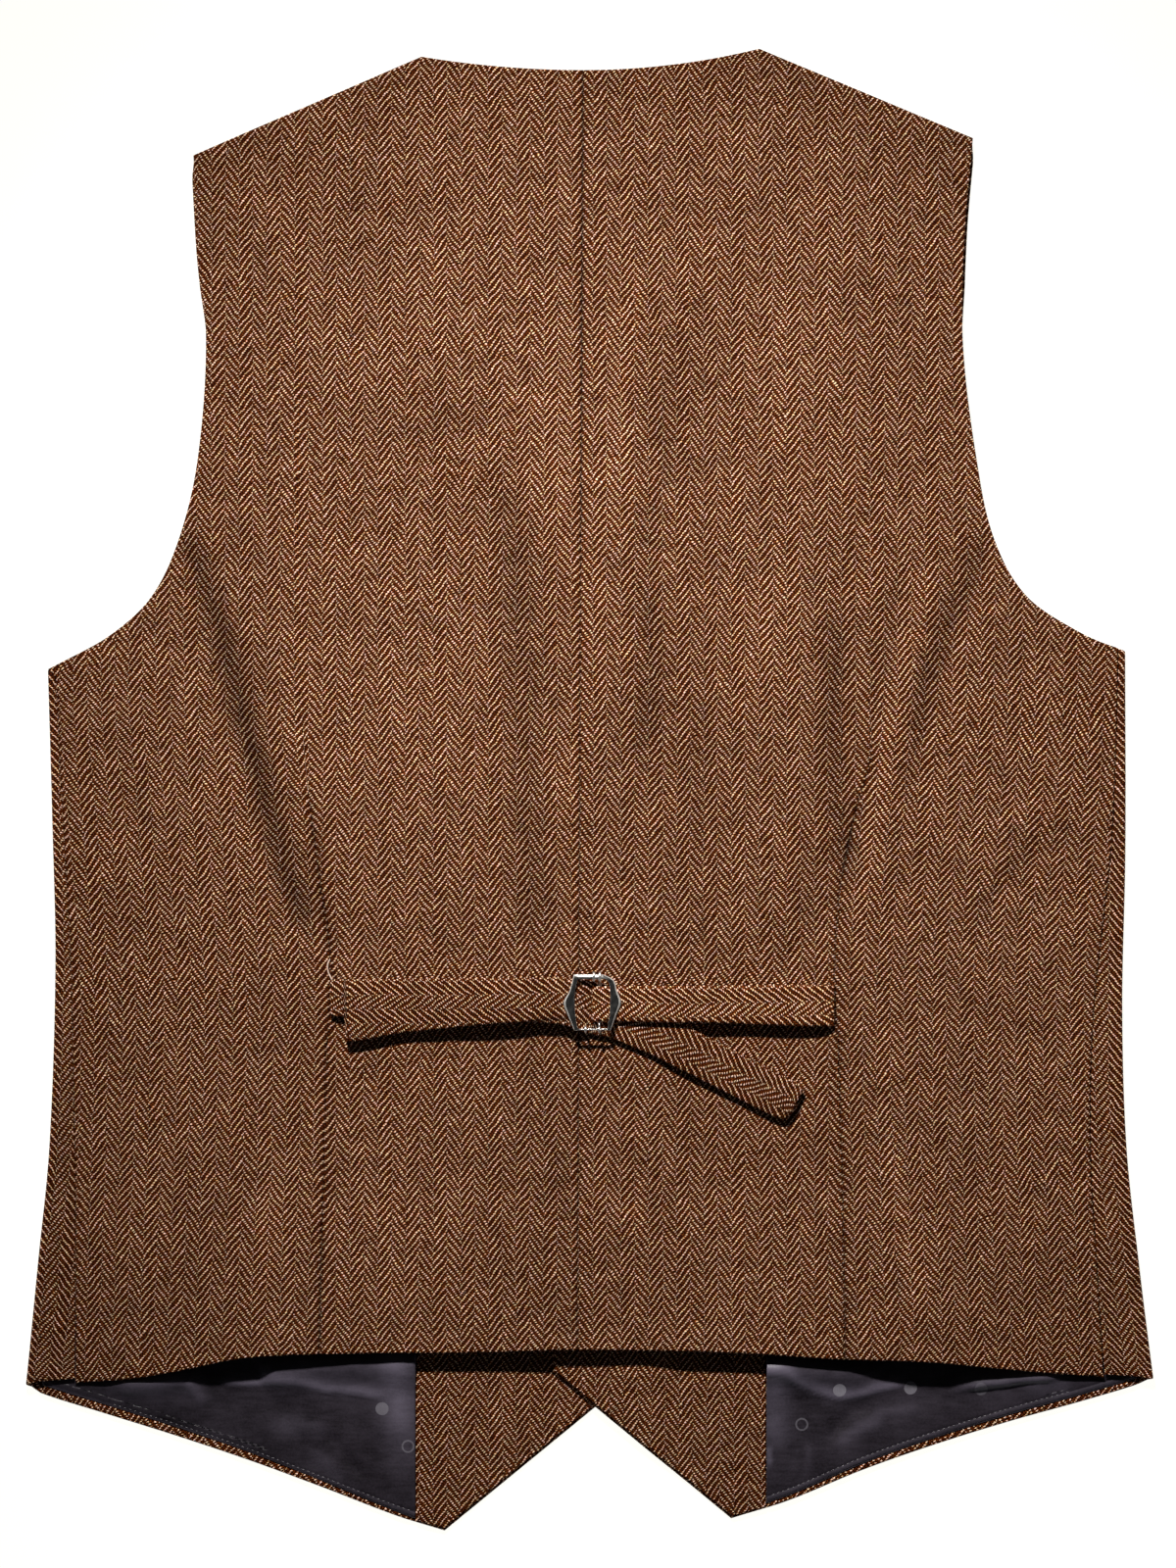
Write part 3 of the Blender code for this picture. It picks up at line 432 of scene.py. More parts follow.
# One value of a material's node tree, which adds and multiplies as a number does.
class Flow:
    def __init__(self, socket):
        self.socket = socket

    def __add__(self, other):
        return calc("ADD", self, other)

    def __mul__(self, other):
        return calc("MULTIPLY", self, other)

    def __sub__(self, other):
        return calc("SUBTRACT", self, other)

    def __rsub__(self, other):
        return calc("SUBTRACT", other, self)

    def __lt__(self, other):
        return calc("LESS_THAN", self, other)


def feed(node, inputs):
    for key, value in inputs.items():
        if isinstance(value, Flow):
            node.id_data.links.new(value.socket, node.inputs[key])
        else:
            node.inputs[key].default_value = value
    return node


def put(kind, inputs, output=0, tree=None, **settings):
    tree = tree or next(value.socket.id_data for value in inputs.values() if isinstance(value, Flow))
    node = tree.nodes.new(kind)
    for key, value in settings.items():
        setattr(node, key, value)
    return Flow(feed(node, inputs).outputs[output])


def calc(operation, *values):
    return put("ShaderNodeMath", dict(enumerate(values)), operation=operation)


def splitUp(vector):
    node = vector.socket.id_data.nodes.new("ShaderNodeSeparateXYZ")
    return [Flow(part) for part in feed(node, {0: vector}).outputs]


def joined(x, y, z):
    return put("ShaderNodeCombineXYZ", {0: x, 1: y, 2: z})


def drawnOut(place, scale):
    return put("ShaderNodeMapping", {"Vector": place, "Scale": scale})


def noise(place, scale=1.0, detail=2.0, output=0, **more):
    return put("ShaderNodeTexNoise", {"Vector": place, "Scale": scale, "Detail": detail, **more}, output)


def blend(part, first, second, way="MIX"):
    first, second = (colour if isinstance(colour, Flow) else (*colour, 1.0) for colour in (first, second))
    return put("ShaderNodeMix", {0: part, 6: first, 7: second}, 2, data_type="RGBA", blend_type=way)


def fromMesh(material, name, output):
    return put("ShaderNodeAttribute", {}, output, material.node_tree, attribute_name=name)


# A new material, and the place on its cloth or in its object that patterns follow.
def newMaterial(name, onCloth=False):
    material = bpy.data.materials.new(name)
    material.use_nodes = True
    if onCloth:
        return material, fromMesh(material, "cloth", "Vector")
    return material, put("ShaderNodeTexCoord", {}, "Object", material.node_tree)


def dress(material, inputs, height=None, strength=1.0, distance=0.0):
    if height is not None:
        bump = put("ShaderNodeBump", {"Strength": strength, "Distance": distance, "Height": height})
        inputs = {**inputs, "Normal": bump}
    feed(material.node_tree.nodes["Principled BSDF"], inputs)
    return material


tweedLook = {
    "warpPitch": 0.742, "weftPitch": 0.965, "column": 9,
    "lightest": (1.0, 0.80, 0.67), "gold": (0.72, 0.34, 0.12), "tan": (0.40, 0.11, 0.013),
    "brown": (0.18, 0.040, 0.005), "dark": (0.026, 0.001, 0.0002),
    "weftPower": 4.0, "weftGain": 4.5, "warpPower": 1.3, "hairy": 2.1, "creviceWidth": 1.3, "slant": 0.24,
    "floatTone": 0.75, "yarnTone": 0.9, "fibre": 2300, "fibreHeight": 0.25, "warpHeight": 0.6,
    "wander": ((30, 2.6, 3.2), (210, 1.7, 1.9), (900, 0.9, 0.9)),  # noise scale, warps, wefts
    "bright": 0.36, "drifts": ((130, 2, 0.8), (11, 3, 0.42), (48, 2, 0.34)),  # noise scale, detail, strength
    "flecks": (300, (1.0, 0.98, 0.74), (1.06, 0.93, 1.0)),  # olive, reddish
    "finish": {"Roughness": 0.88, "Specular IOR Level": 0.05, "Sheen Weight": 0.004,
               "Sheen Roughness": 0.45, "Sheen Tint": (1.0, 0.78, 0.6, 1.0)},
    "bump": 0.00062,
}


# Herringbone: light weft floats two warps long over dark warp, the diagonal turning every nine warps.
def tweedMaterial(look=tweedLook):
    material, cloth = newMaterial("tweed", onCloth=True)
    x, y, _ = splitUp(cloth)
    warp, weft = x * (1000.0 / look["warpPitch"]), y * (1000.0 / look["weftPitch"])
    for scale, along, across in look["wander"]:  # the yarns wander, and their fibres break up every edge
        swayX, swayY, _ = splitUp(noise(cloth, scale, 1.0, "Color"))
        warp, weft = swayX * along + warp, swayY * across + weft
    i, j = calc("FLOOR", warp), calc("FLOOR", weft)
    fu, fv = warp - i, weft - j
    period = 2.0 * look["column"]
    m = calc("WRAP", i, period, 0.0)
    rising = m < look["column"] - 0.5
    falling = 1.0 - rising
    phase = calc("WRAP", m * rising + (period + 1.0 - m) * falling + j, 4.0, 0.0)
    isWeft = phase < 1.5

    def hump(along, across):
        return calc("MAXIMUM", calc("SINE", along * (math.pi / 2)) * calc("SINE", across * math.pi), 0.0)

    # how far along its float a place is, 0 to 2; the twist slants every float the same way
    weftAlong = fu + (phase * rising + (1.0 - phase) * falling)
    weftAcross = fv - (weftAlong - 1.0) * look["slant"]
    weftAcross = calc("MINIMUM", calc("MAXIMUM", weftAcross, 0.0), 1.0)
    weftHump = hump(weftAlong, weftAcross) * isWeft
    warpHump = hump(phase - 2.0 + fv, fu) * (1.0 - isWeft)

    # each yarn has its own tone, and so has each float
    yarnTone = noise(joined(warp * 0.11, j * 3.17, 2.0), detail=1.0)
    floatPlace = joined(i - phase * (rising * 2.0 - 1.0), j, 0.5)
    floatTone = put("ShaderNodeTexWhiteNoise", {"Vector": floatPlace}, "Value", noise_dimensions="3D")
    fibre = noise(cloth, look["fibre"], Roughness=0.75)
    tone = floatTone * look["floatTone"] + yarnTone * look["yarnTone"]
    # the weft's colour is its own tan, climbing to a painted highlight on each float's crown
    paintedCrownHighlight = calc("POWER", weftHump, look["weftPower"]) * (tone * look["weftGain"])
    paintedCrownHighlight = paintedCrownHighlight * (fibre * look["hairy"] + (1.05 - look["hairy"] / 2))
    weftColour = blend(paintedCrownHighlight * paintedCrownHighlight, blend(paintedCrownHighlight, look["tan"], look["gold"]), look["lightest"])
    warpColour = blend(calc("POWER", warpHump, look["warpPower"]) * tone, look["dark"], look["brown"])
    colour = blend(isWeft, warpColour, weftColour)
    shade = calc("SQRT", calc("MINIMUM", (weftHump + warpHump) * look["creviceWidth"], 1.0))

    # soft drifts of tone over the whole cloth, the crevices' painted shade, the painted shade and highlight
    # from the mesh's tone, and an olive or reddish fleck here and there
    brighten = look["bright"]
    for scale, detail, strength in look["drifts"]:
        brighten = noise(cloth, scale, detail) * strength + brighten
    brighten = brighten * shade * (fromMesh(material, "tone", "Fac") + 1.0)
    scale, olive, reddish = look["flecks"]
    colour = blend(1.0, colour, blend(noise(cloth, scale, 1.0) * 3.0 - 1.0, olive, reddish), "MULTIPLY")
    colour = put("ShaderNodeVectorMath", {0: colour, "Scale": brighten}, operation="SCALE")
    form = calc("SQRT", weftHump + warpHump * look["warpHeight"])
    height = fibre * look["fibreHeight"] + form
    return dress(material, {**look["finish"], "Base Color": colour}, height, 1.0, look["bump"])


satinLook = {
    "colour": (0.008, 0.006, 0.008), "paler": (0.055, 0.046, 0.062), "paintedSheen": (0.14, 0.122, 0.165),
    "grain": 0.6, "soft": 1.5, "drawn": 0.7, "from": -0.93, "roughness": 0.31, "bump": 0.0011,
    "dotColour": (0.30, 0.285, 0.33), "dotRadius": 3.15, "ringWidth": 0.42,
    "dots": [  # (x, y, strength, ring or filled)
        (-100.1, -299, 0.5, "filled"), (-87.6, -317.2, 0.4, "ring"), (120.7, -289.8, 0.9, "filled"),
        (155, -289, 0.6, "filled"), (189, -289.4, 0.25, "filled"), (102.5, -306.6, 0.35, "ring"),
    ],
    "finish": {"Specular IOR Level": 0.24, "Sheen Weight": 0.05, "Sheen Roughness": 0.30,
               "Sheen Tint": (0.78, 0.72, 0.9, 1.0)},
}


# Dark satin with woven dots where they show; the dotted linings also get a painted sheen from the mesh's tone.
def satinMaterial(name, dotted, look=satinLook):
    material, cloth = newMaterial(name, onCloth=True)
    soft = noise(cloth, 42.0, 4.0, Roughness=0.6)
    floats = noise(drawnOut(cloth, (5200.0, 240.0, 1.0)), detail=1.0)
    drawn = noise(drawnOut(cloth, (85.0, 560.0, 1.0)), detail=3.0, Roughness=0.6)
    part = noise(cloth, 900.0) * look["grain"] + (soft * look["soft"] + (drawn * look["drawn"] + look["from"]))
    colour = blend(part, look["colour"], look["paler"])
    if dotted:
        # painted sheen, where the mesh's tone asks for it
        colour = blend(fromMesh(material, "tone", "Fac") * (part * 0.9 + 0.6), colour, look["paintedSheen"])
        across, up, _ = splitUp(cloth)
        flat, shown = joined(across, up, 0.0), None
        for x, y, strength, kind in look["dots"]:
            spot = (x * mm, y * mm, 0.0)
            far = put("ShaderNodeVectorMath", {0: flat, 1: spot}, "Value", operation="DISTANCE")
            reach = look["dotRadius"]
            if kind == "ring":
                far = calc("ABSOLUTE", far - (look["dotRadius"] - look["ringWidth"]) * mm)
                reach = look["ringWidth"]
            mark = (far < reach * mm) * strength
            shown = mark if shown is None else calc("MAXIMUM", shown, mark)
        colour = blend(shown * (floats * 0.7 + 0.6), colour, look["dotColour"])
    inputs = {**look["finish"], "Base Color": colour, "Roughness": soft * 0.18 + look["roughness"]}
    return dress(material, inputs, floats * 0.03 + soft, 0.6, look["bump"])


def steelMaterial(name, dull, clear, roughness):
    material, place = newMaterial(name)
    smudge = noise(place, 420.0, 4.0)
    scratch = noise(drawnOut(place, (900.0, 5200.0, 900.0)))
    colour, worn = blend(smudge, dull, clear), smudge * 0.20 + roughness
    inputs = {"Base Color": colour, "Roughness": worn, "Metallic": 1.0}
    return dress(material, inputs, scratch + smudge, 0.25, 0.00005)


def hornMaterial(name, dark, light):
    material, place = newMaterial(name)
    streaks = noise(drawnOut(place, (160.0, 900.0, 300.0)), detail=5.0, Distortion=1.2)
    inputs = {"Base Color": blend(streaks, dark, light), "Roughness": streaks * 0.2 + 0.22}
    return dress(material, inputs, streaks, 0.2, 0.0001)


def threadMaterial(name, dark, light):
    material, place = newMaterial(name)
    twist = noise(place, 2400.0)
    return dress(material, {"Base Color": blend(twist, dark, light), "Roughness": 0.75}, twist, 0.8, 0.0001)


tweed = tweedMaterial()
satin = satinMaterial("liningSatin", dotted=True)
backSatin = satinMaterial("backLiningSatin", dotted=False)
steel = steelMaterial("buckleSteel", (0.42, 0.405, 0.38), (0.80, 0.78, 0.75), 0.12)
# the wires take a paler copy of the frame's steel: a painted highlight on them
wireSteel = steelMaterial("buckleWire", (0.80, 0.78, 0.74), (0.96, 0.94, 0.90), 0.30)
# the frame's outer rims take a paler, rougher copy of its steel: a painted highlight along them
paintedGlintSteel = steelMaterial("buckleRimPaintedGlint", (0.80, 0.78, 0.74), (0.96, 0.94, 0.90), 0.50)
horn = hornMaterial("buttonHorn", (0.022, 0.010, 0.006), (0.20, 0.105, 0.05))
greyThread = threadMaterial("greyThread", (0.17, 0.16, 0.18), (0.42, 0.40, 0.43))
brownThread = threadMaterial("brownThread", (0.05, 0.025, 0.014), (0.16, 0.085, 0.05))
paleThread = threadMaterial("paleThread", (0.62, 0.42, 0.33), (0.9, 0.7, 0.58))
print("materials ready")


# A sheet stretched between its four edges: s from the near edge to the far one, t from the hem to the top.
def stretched(s, t, hem, top, near, far):
    first, last = np.array(0.0), np.array(1.0)
    return [hem(s)[k] * (1 - t) + top(s)[k] * t + near[k] * (1 - s) + far[k] * s
            - (hem(first)[k] * (1 - s) + hem(last)[k] * s) * (1 - t)
            - (top(first)[k] * (1 - s) + top(last)[k] * s) * t for k in (0, 1)]


backLook = {
    "rowStep": 2.9, "columnStep": 2.8,
    "neckColumn": 0.42,      # where the neck point falls along the top edge
    "toDart": 110.0, "fromDart": 112.0,    # nominal widths that the mesh lines are spaced over
    "beside": (0.3, 0.7, 1.3, 2.2, 3.4),   # mesh lines beside each dart
    "hemFacing": 34.0,       # tweed turned up inside the hem
    "rightShift": 3.1,       # how far the right half's pattern is set off at the centre seam
    "sheet": ((0.262, 0.640), 0.139, ["front_left", "front_right"]),
}


def backHalf(side):
    look = backLook
    cornerY, armY = garment["sideFold"][side][0][0], garment["sideFold"][side][-1][0]
    tipX, tipY = garment["shoulderTip"][side]
    neckX, neckY = garment["neckPoint"][side]
    (hemX, hemLow), (topX, topY) = garment["centreHem"], garment["centreTop"]
    length = tipY - cornerY
    t = (spaced(length, look["rowStep"]) / length)[:, None]

    centre = mix(hemX, topX, t), mix(hemLow, topY, t)  # the two halves meet in their seam
    outY = mix(cornerY, tipY, t)
    sideX = foldX(side, outY) - side * (seamInset(side, outY) + garment["gap"] / 2)
    low = outY <= armY
    outX = np.where(low, sideX, fromTable(garment["armhole"][side], outY))
    outY = np.where(low, mix(fromTable(garment["backHem"], sideX), outY, ease(0.0, 0.03, t)), outY)

    def hem(s):
        x = mix(centre[0][0, 0], outX[0, 0], s)
        return x, fromTable(garment["backHem"], x)

    def top(s):
        onNeck = s <= look["neckColumn"]
        x = np.where(onNeck, mix(centre[0][-1, 0], neckX, s / look["neckColumn"]),
                     mix(neckX, tipX, (s - look["neckColumn"]) / (1 - look["neckColumn"])))
        bow = ((x - topX) / (neckX - topX)) ** 2
        return x, np.where(onNeck, mix(topY, neckY, bow), mix(neckY, tipY, (x - neckX) / (tipX - neckX)))

    def place(s):
        return stretched(s, t, hem, top, centre, (outX, outY))

    # the dart's line is one of the mesh's lines, found for each row by halving
    lowS, highS = np.zeros_like(t), np.ones_like(t)
    for _ in range(26):
        middle = (lowS + highS) / 2
        x, y = place(middle)
        inside = side * (dartX(side, y) - x) > 0
        lowS, highS = np.where(inside, middle, lowS), np.where(inside, highS, middle)
    dartS = (lowS + highS) / 2
    width = np.abs(outX - centre[0])
    neckPart = look["neckColumn"] / dartS[-1, 0]
    inner, outer, step = look["toDart"], look["fromDart"], look["columnStep"]
    toNeck = spaced(inner * neckPart, step, end=False)
    pastNeck = inner - spaced(inner * (1 - neckPart), step, end=False, close=look["beside"])[::-1]
    columns = [dartS + d / width for d in look["beside"]]
    for at in [*toNeck, *pastNeck[1:]]:
        s = np.where(inner - at < 5.0, dartS - (inner - at) / width, dartS * at / inner)
        columns.append(np.where(at < 3.0, at / width, s))
    for at in spaced(outer, step, start=False)[1:]:
        s = dartS + (1 - dartS) * at / outer
        columns.append(np.where(outer - at < 3.0, 1 - (outer - at) / width, s))
    x, y = place(np.sort(np.concatenate(columns, axis=1), axis=1))
    z = backTop(x, y) - garment["backWall"] / 2

    # beyond the dart the cloth is turned by what the dart takes in
    take = fromTable(garment["dartTake"], y)
    slope = fromTable(garment["dartTake"], y + 1.0) - take
    off = x - dartX(side, y)
    beyond = side * off > 0
    u = np.where(beyond, x + side * take, x) + (look["rightShift"] if side == right else 0.0)
    v = np.where(beyond, y - 0.5 * side * slope * np.abs(off), y)
    plainInside = y >= fromTable(garment["backHem"], x) + look["hemFacing"]
    clothPiece("back", side, (x, y, z), (u, v, np.full_like(x, 40.0 * side)),
               garment["backWall"], tweed, backSatin, turn=side, edge=0.8, insideWhere=plainInside,
               tone=backPaintedShading(x, y))


for side in both:
    backHalf(side)
print("back halves laid")


frontLook = {
    "rowStep": 3.4, "columnStep": 3.6, "foldSteps": 16, "flapStep": 2.2,
    "wide": 240.0, "flapWide": 20.0,   # nominal widths that the mesh lines are spaced over
    "peek": 1.4, "peekUp": (215.0, 245.0),   # how far the front shows past the back near the shoulder
    "turned": (2.6, 3.3, 4.0, 4.7), "turnedMore": 1.0,   # mesh lines of the turned hem, its second layer
    "turnedOut": ((84.0, 88.0), (268.0, 262.0)),   # where that layer starts and ends, from the middle
    "cornerRise": {left: (1.7, 4.2), right: (0.8, 2.8)},   # the fold's hem rises to its top and the seam
    "sheet": ((0.345, 0.712), 0.162, ["button_1", "button_5"]),
}


def frontPanel(side):
    look = frontLook
    wall = garment["frontWall"]
    cornerY, armY = garment["sideFold"][side][0][0], garment["sideFold"][side][-1][0]
    tipX, tipY = garment["shoulderTip"][side]
    neckX, neckY = garment["neckPoint"][side]
    edge = garment["frontEdge"][side]
    lowY, highY = edge[0][1], edge[-1][1]
    length = tipY - cornerY
    armT = (armY - cornerY) / length
    upTo = spaced(length * armT, look["rowStep"])
    above = spaced(length * (1 - armT), look["rowStep"])[1:] + length * armT
    marks = [(y - lowY) / (highY - lowY) * length for y in (edge[1][1], edge[2][1])]
    t = (np.sort(np.concatenate([upTo, above, marks, look["turned"]])) / length)[:, None]

    edgeY = mix(lowY, highY, t)
    edgeX = np.interp(edgeY, [p[1] for p in edge], [p[0] for p in edge])
    outY = mix(cornerY, tipY, t)
    radius = foldHeight(outY) / 2
    peek = look["peek"] * ease(*look["peekUp"], outY) * ease(tipY, tipY - 12.0, outY)
    low = outY <= armY + 1e-6
    outX = np.where(low, foldX(side, outY) - side * radius,
                    fromTable(garment["armhole"][side], outY) + side * peek)

    def hem(s):
        x = mix(edge[0][0], outX[0, 0], s)
        return x, hemY(side, x)

    def shoulder(s):
        return mix(neckX, tipX, s), mix(neckY, tipY, s)

    s = (spaced(look["wide"], look["columnStep"]) / look["wide"])[None, :]
    x, y = stretched(s, t, hem, shoulder, (edgeX, edgeY), (outX, outY))
    turned, (starts, ends) = turnedHem(side, x), look["turnedOut"]
    alongHem = ease(*starts, np.abs(x)) * ease(*ends, np.abs(x))
    more = look["turnedMore"] * ease(turned + 0.2, turned - 0.6, y - hemY(side, x)) * alongHem
    z = frontUnder(side, x, y) + (wall + more) / 2
    u = x - (foldX(side, y) - foldX(side, -80.0)) * ease(90.0, 240.0, np.abs(x))

    # round the side fold and back along the back's side as far as the seam
    fold = foldX(side, outY)
    angles = np.linspace(0, math.pi, look["foldSteps"] + 1)[None, 1:]
    middle = radius - wall / 2
    toTop, toSeam = (rise * ease(0.03, 0.0, t) for rise in look["cornerRise"][side])
    inset = seamInset(side, outY) - garment["gap"] / 2 - radius
    onward = (spaced(look["flapWide"], look["flapStep"], start=False) / look["flapWide"])[None, 1:]
    flapX, flatY = fold - side * (radius + inset * onward), outY + 0 * onward
    flapZ = mix(2 * radius - wall / 2, backTop(flapX, flatY) - wall / 2, ease(0.0, 0.25, onward))
    bend = (fold - side * (radius - middle * np.sin(angles)), outY + toTop * angles / math.pi,
            radius - middle * np.cos(angles))
    flap = (flapX, outY + mix(toTop, toSeam, np.sqrt(onward)), flapZ)
    grid = [np.concatenate(three, 1) for three in zip((x, y, z), bend, flap)]
    offFlat = ~low & (np.arange(grid[0].shape[1]) >= x.shape[1])[None, :]
    for values in grid:
        values[offFlat] = np.nan
    us = np.concatenate([u, u[:, -1:] + side * middle * angles,
                         u[:, -1:] + side * (middle * math.pi + inset * onward)], 1)
    vs = np.concatenate([y, outY + 0 * angles, flatY], 1)
    walls = np.full(vs.shape, wall)
    walls[:, :x.shape[1]] += more
    clothPiece("front", side, grid, (us, vs, np.full_like(vs, 80.0 + 17.0 * side)),
               walls, tweed, turn=-side, edge=0.75)


for side in both:
    frontPanel(side)
print("fronts laid")


facingLook = {
    "step": 2.6, "edgeBand": 0.9, "wide": 60.0,
    "pressed": 2.7, "foldLines": (2.3, 2.7, 3.1, 3.9),   # the pressed edge's hollow and mesh lines
    "shift": {left: 0.0, right: 1.7},   # how far the pattern is set off
    "pressDeep": 0.22, "pressWide": 0.45, "pressTop": (20, 40),   # the hollow, and where it fades below the top
    "swell": 0.10, "swellWave": 34, "swellIn": (0, 6),
    "sheet": {left: ((0.105, 0.103), 0.0074, ["front_left"]),
              right: ((0.103, 0.097), 0.0070, ["front_right"])},
}


def facing(side):
    look = facingLook
    wall, band, wide, topY = garment["facingWall"], look["edgeBand"], look["wide"], garment["insideTop"]
    point, corner = (np.array(spot) for spot in garment["frontEdge"][side][:2])
    start, turn = point + (side * 0.4, 1.5), corner + (side * band, band)
    slant = np.hypot(*(corner - point))
    line = start + (turn - start) * (spaced(slant, look["step"], end=False) / slant)[:, None]
    rise = np.linspace(line[-1][1], topY, 12)[1:]
    line = np.concatenate([line, np.stack([np.full_like(rise, turn[0]), rise], axis=-1)])
    seamX = garment["facingSeam"][side] - side * garment["gap"] / 2
    part = (line[:, 1] - line[0, 1]) / (topY - line[0, 1])
    seam = np.stack([np.full_like(part, seamX), mix(float(hemY(side, seamX)) + band, topY, part)], axis=-1)
    width = np.hypot(*(line - seam).T)[:, None]
    across = spaced(wide, look["step"] * 0.8)
    s = np.where(across < 3.0, across / width,
                 np.where(wide - across < 3.0, 1 - (wide - across) / width, across / wide))
    s = np.concatenate([s, 1 - np.array(look["foldLines"]) / width], axis=1)
    s = np.clip(np.sort(s, axis=1), 0.0, 1.0)
    x, y = (mix(seam[:, k:k + 1], line[:, k:k + 1], s) for k in (0, 1))
    fromEdge = (1 - s) * width
    z = frontUnder(side, x, y) + overFront + wall / 2 + 0.04
    fade = ease(*(topY - down for down in look["pressTop"]), y)
    z = z - look["pressDeep"] * bell(fromEdge - look["pressed"], look["pressWide"]) * fade
    z = z + look["swell"] * (1 + unevenness(x, y, look["swellWave"], 1.0)) * ease(*look["swellIn"], fromEdge)
    measure = x + look["shift"][side], y, np.full_like(x, 120.0 + 30 * side)
    clothPiece("facing", side, (x, y, z), measure, wall, tweed, turn=-side,
               edge=0.55)


for side in both:
    facing(side)
print("facings laid")


liningLook = {
    "step": 1.7, "sideInset": 8.0, "tall": 92.0, "wide": 178.0, "climb": 0.94,
    "close": (0.1, 0.28, 0.6, 1.1, 1.7, 2.3, 2.8, 3.3, 4.1),   # mesh lines at its lower and upper edge
    "stitchedTo": {left: -230.0, right: 233.0},
    "stitchIn": {left: [(-272, 1.3), (-150, 1.5), (-120, 2), (-84, 2.8)], right: [(85, 2.8), (272, 2.8)]},
    "creases": {  # as for the back, but here the tone column is painted sheen
        left: [
            (4.2, 1.1, 0.9, 0.85, 0.12, 0.15, (-182, -286), (-164, -287), (-151.6, -286), (-139, -287.2),
             (-126.8, -290), (-114.3, -291), (-102, -293.1), (-95, -295)),
            (7, 8, 3.6, 0.25, 0.12, 0.04, (-160, -285), (-147, -280), (-120, -278), (-82, -279)),
            (5, 5, 3, 0.45, 0.3, 0.3, (-236, -288.5), (-212, -287), (-200, -285), (-190, -286), (-182, -292)),
            (2.6, 2.6, 0.8, 0.3, 0.2, 0.4, (-196, -286), (-190, -291), (-185, -299)),
            (8, 8, 0.5, 0.8, 0.03, 0.6, (-93, -268), (-92, -290), (-91, -310), (-90, -334)),
            (5, 5, 0.4, 0.22, 0.3, 0.3, (-158, -309), (-140, -308), (-122, -312)),
            (2.6, 3.4, -0.8, -0.15, 0.2, 0.2, (-128, -308), (-117, -322), (-108, -334)),
            (3.2, 3.2, 0.45, 0.2, 0.3, 0.3, (-136, -318), (-126, -327), (-118, -336)),
        ],
        right: [
            (4.2, 1.2, 0.9, 0.9, 0.04, 0.12, (82, -281.5), (91.6, -281.5), (100.1, -286.4), (108.5, -290),
             (115.8, -292.4), (121.8, -293.4), (130.2, -292.4), (138.7, -290), (147.1, -288.2),
             (156, -287.4)),
            (7, 7, 4.2, 0.2, 0.03, 0.4, (80, -280), (100, -280), (122, -282), (150, -284)),
            (5, 1.8, 2.6, 0.5, 0.3, 0.2, (172, -291), (188.1, -287.6), (199, -286.4), (212.2, -284.5),
             (230, -283.8)),
            (4, 4, 0.8, 0.3, 0.3, 0.3, (208, -288), (220, -288), (236, -288)),
            (6, 7, 0.5, 0.5, 0.1, 0.3, (90, -276), (90, -298), (90, -322)),
            (1.4, 1.4, 0.4, 0.6, 0.3, 0.3, (86.8, -316), (86.8, -322), (87.4, -328)),
            (1.4, 1.8, -0.6, -0.3, 0.2, 0.2, (97, -316), (98, -325), (97, -334)),
            (1.8, 1.4, 0.35, 0.15, 0.3, 0.3, (104, -312), (106, -322), (103, -334)),
            (3, 3.4, -0.7, -0.25, 0.2, 0.2, (114, -316), (125.4, -300.4), (139, -297.5)),
            (3.6, 3.6, 0.5, 0.34, 0.25, 0.25, (117, -317), (130.2, -309.5), (144, -302)),
            (3, 3, 0.35, 0.2, 0.3, 0.3, (134, -301), (150, -300), (164, -299)),
        ],
    },
    "stitch": {"pitch": 2.6, "length": 1.35, "radius": 0.14},
    "sheet": {left: ((0.181, 0.096), 0.0111, ["front_left"]),
              right: ((0.179, 0.088), 0.0100, ["front_right"])},
}


def liningEdge(side, x):
    return hemY(side, x) + turnedHem(side, x)


def stitchIn(side, x):
    return fromTable(liningLook["stitchIn"][side], x)


def liningTop(side, x, y):
    fromHem = (y - liningEdge(side, x)) * liningLook["climb"]
    off = fromHem - stitchIn(side, x)
    folds = creased(x, y, liningLook["creases"][side])
    ripple = 0.16 * (1 + unevenness(x, y, 26.0, 1.0)) + 0.10 * (1 + unevenness(x, y * 1.6, 9.0, 1.0))
    ruffle = 0.12 * np.sin(x * 1.45 + 1.3 * np.sin(x * 0.31)) * bell(fromHem - 1.6, 1.6)
    sewn = -0.30 * bell(off, 0.55) - 0.5 * ease(1.8, 0.0, fromHem)
    plain = overFront + garment["liningWall"] + 0.35
    return plain + (folds + ripple) * ease(0.6, 9.0, np.abs(off)) + ruffle + sewn * ease(0.0, 0.4, fromHem)


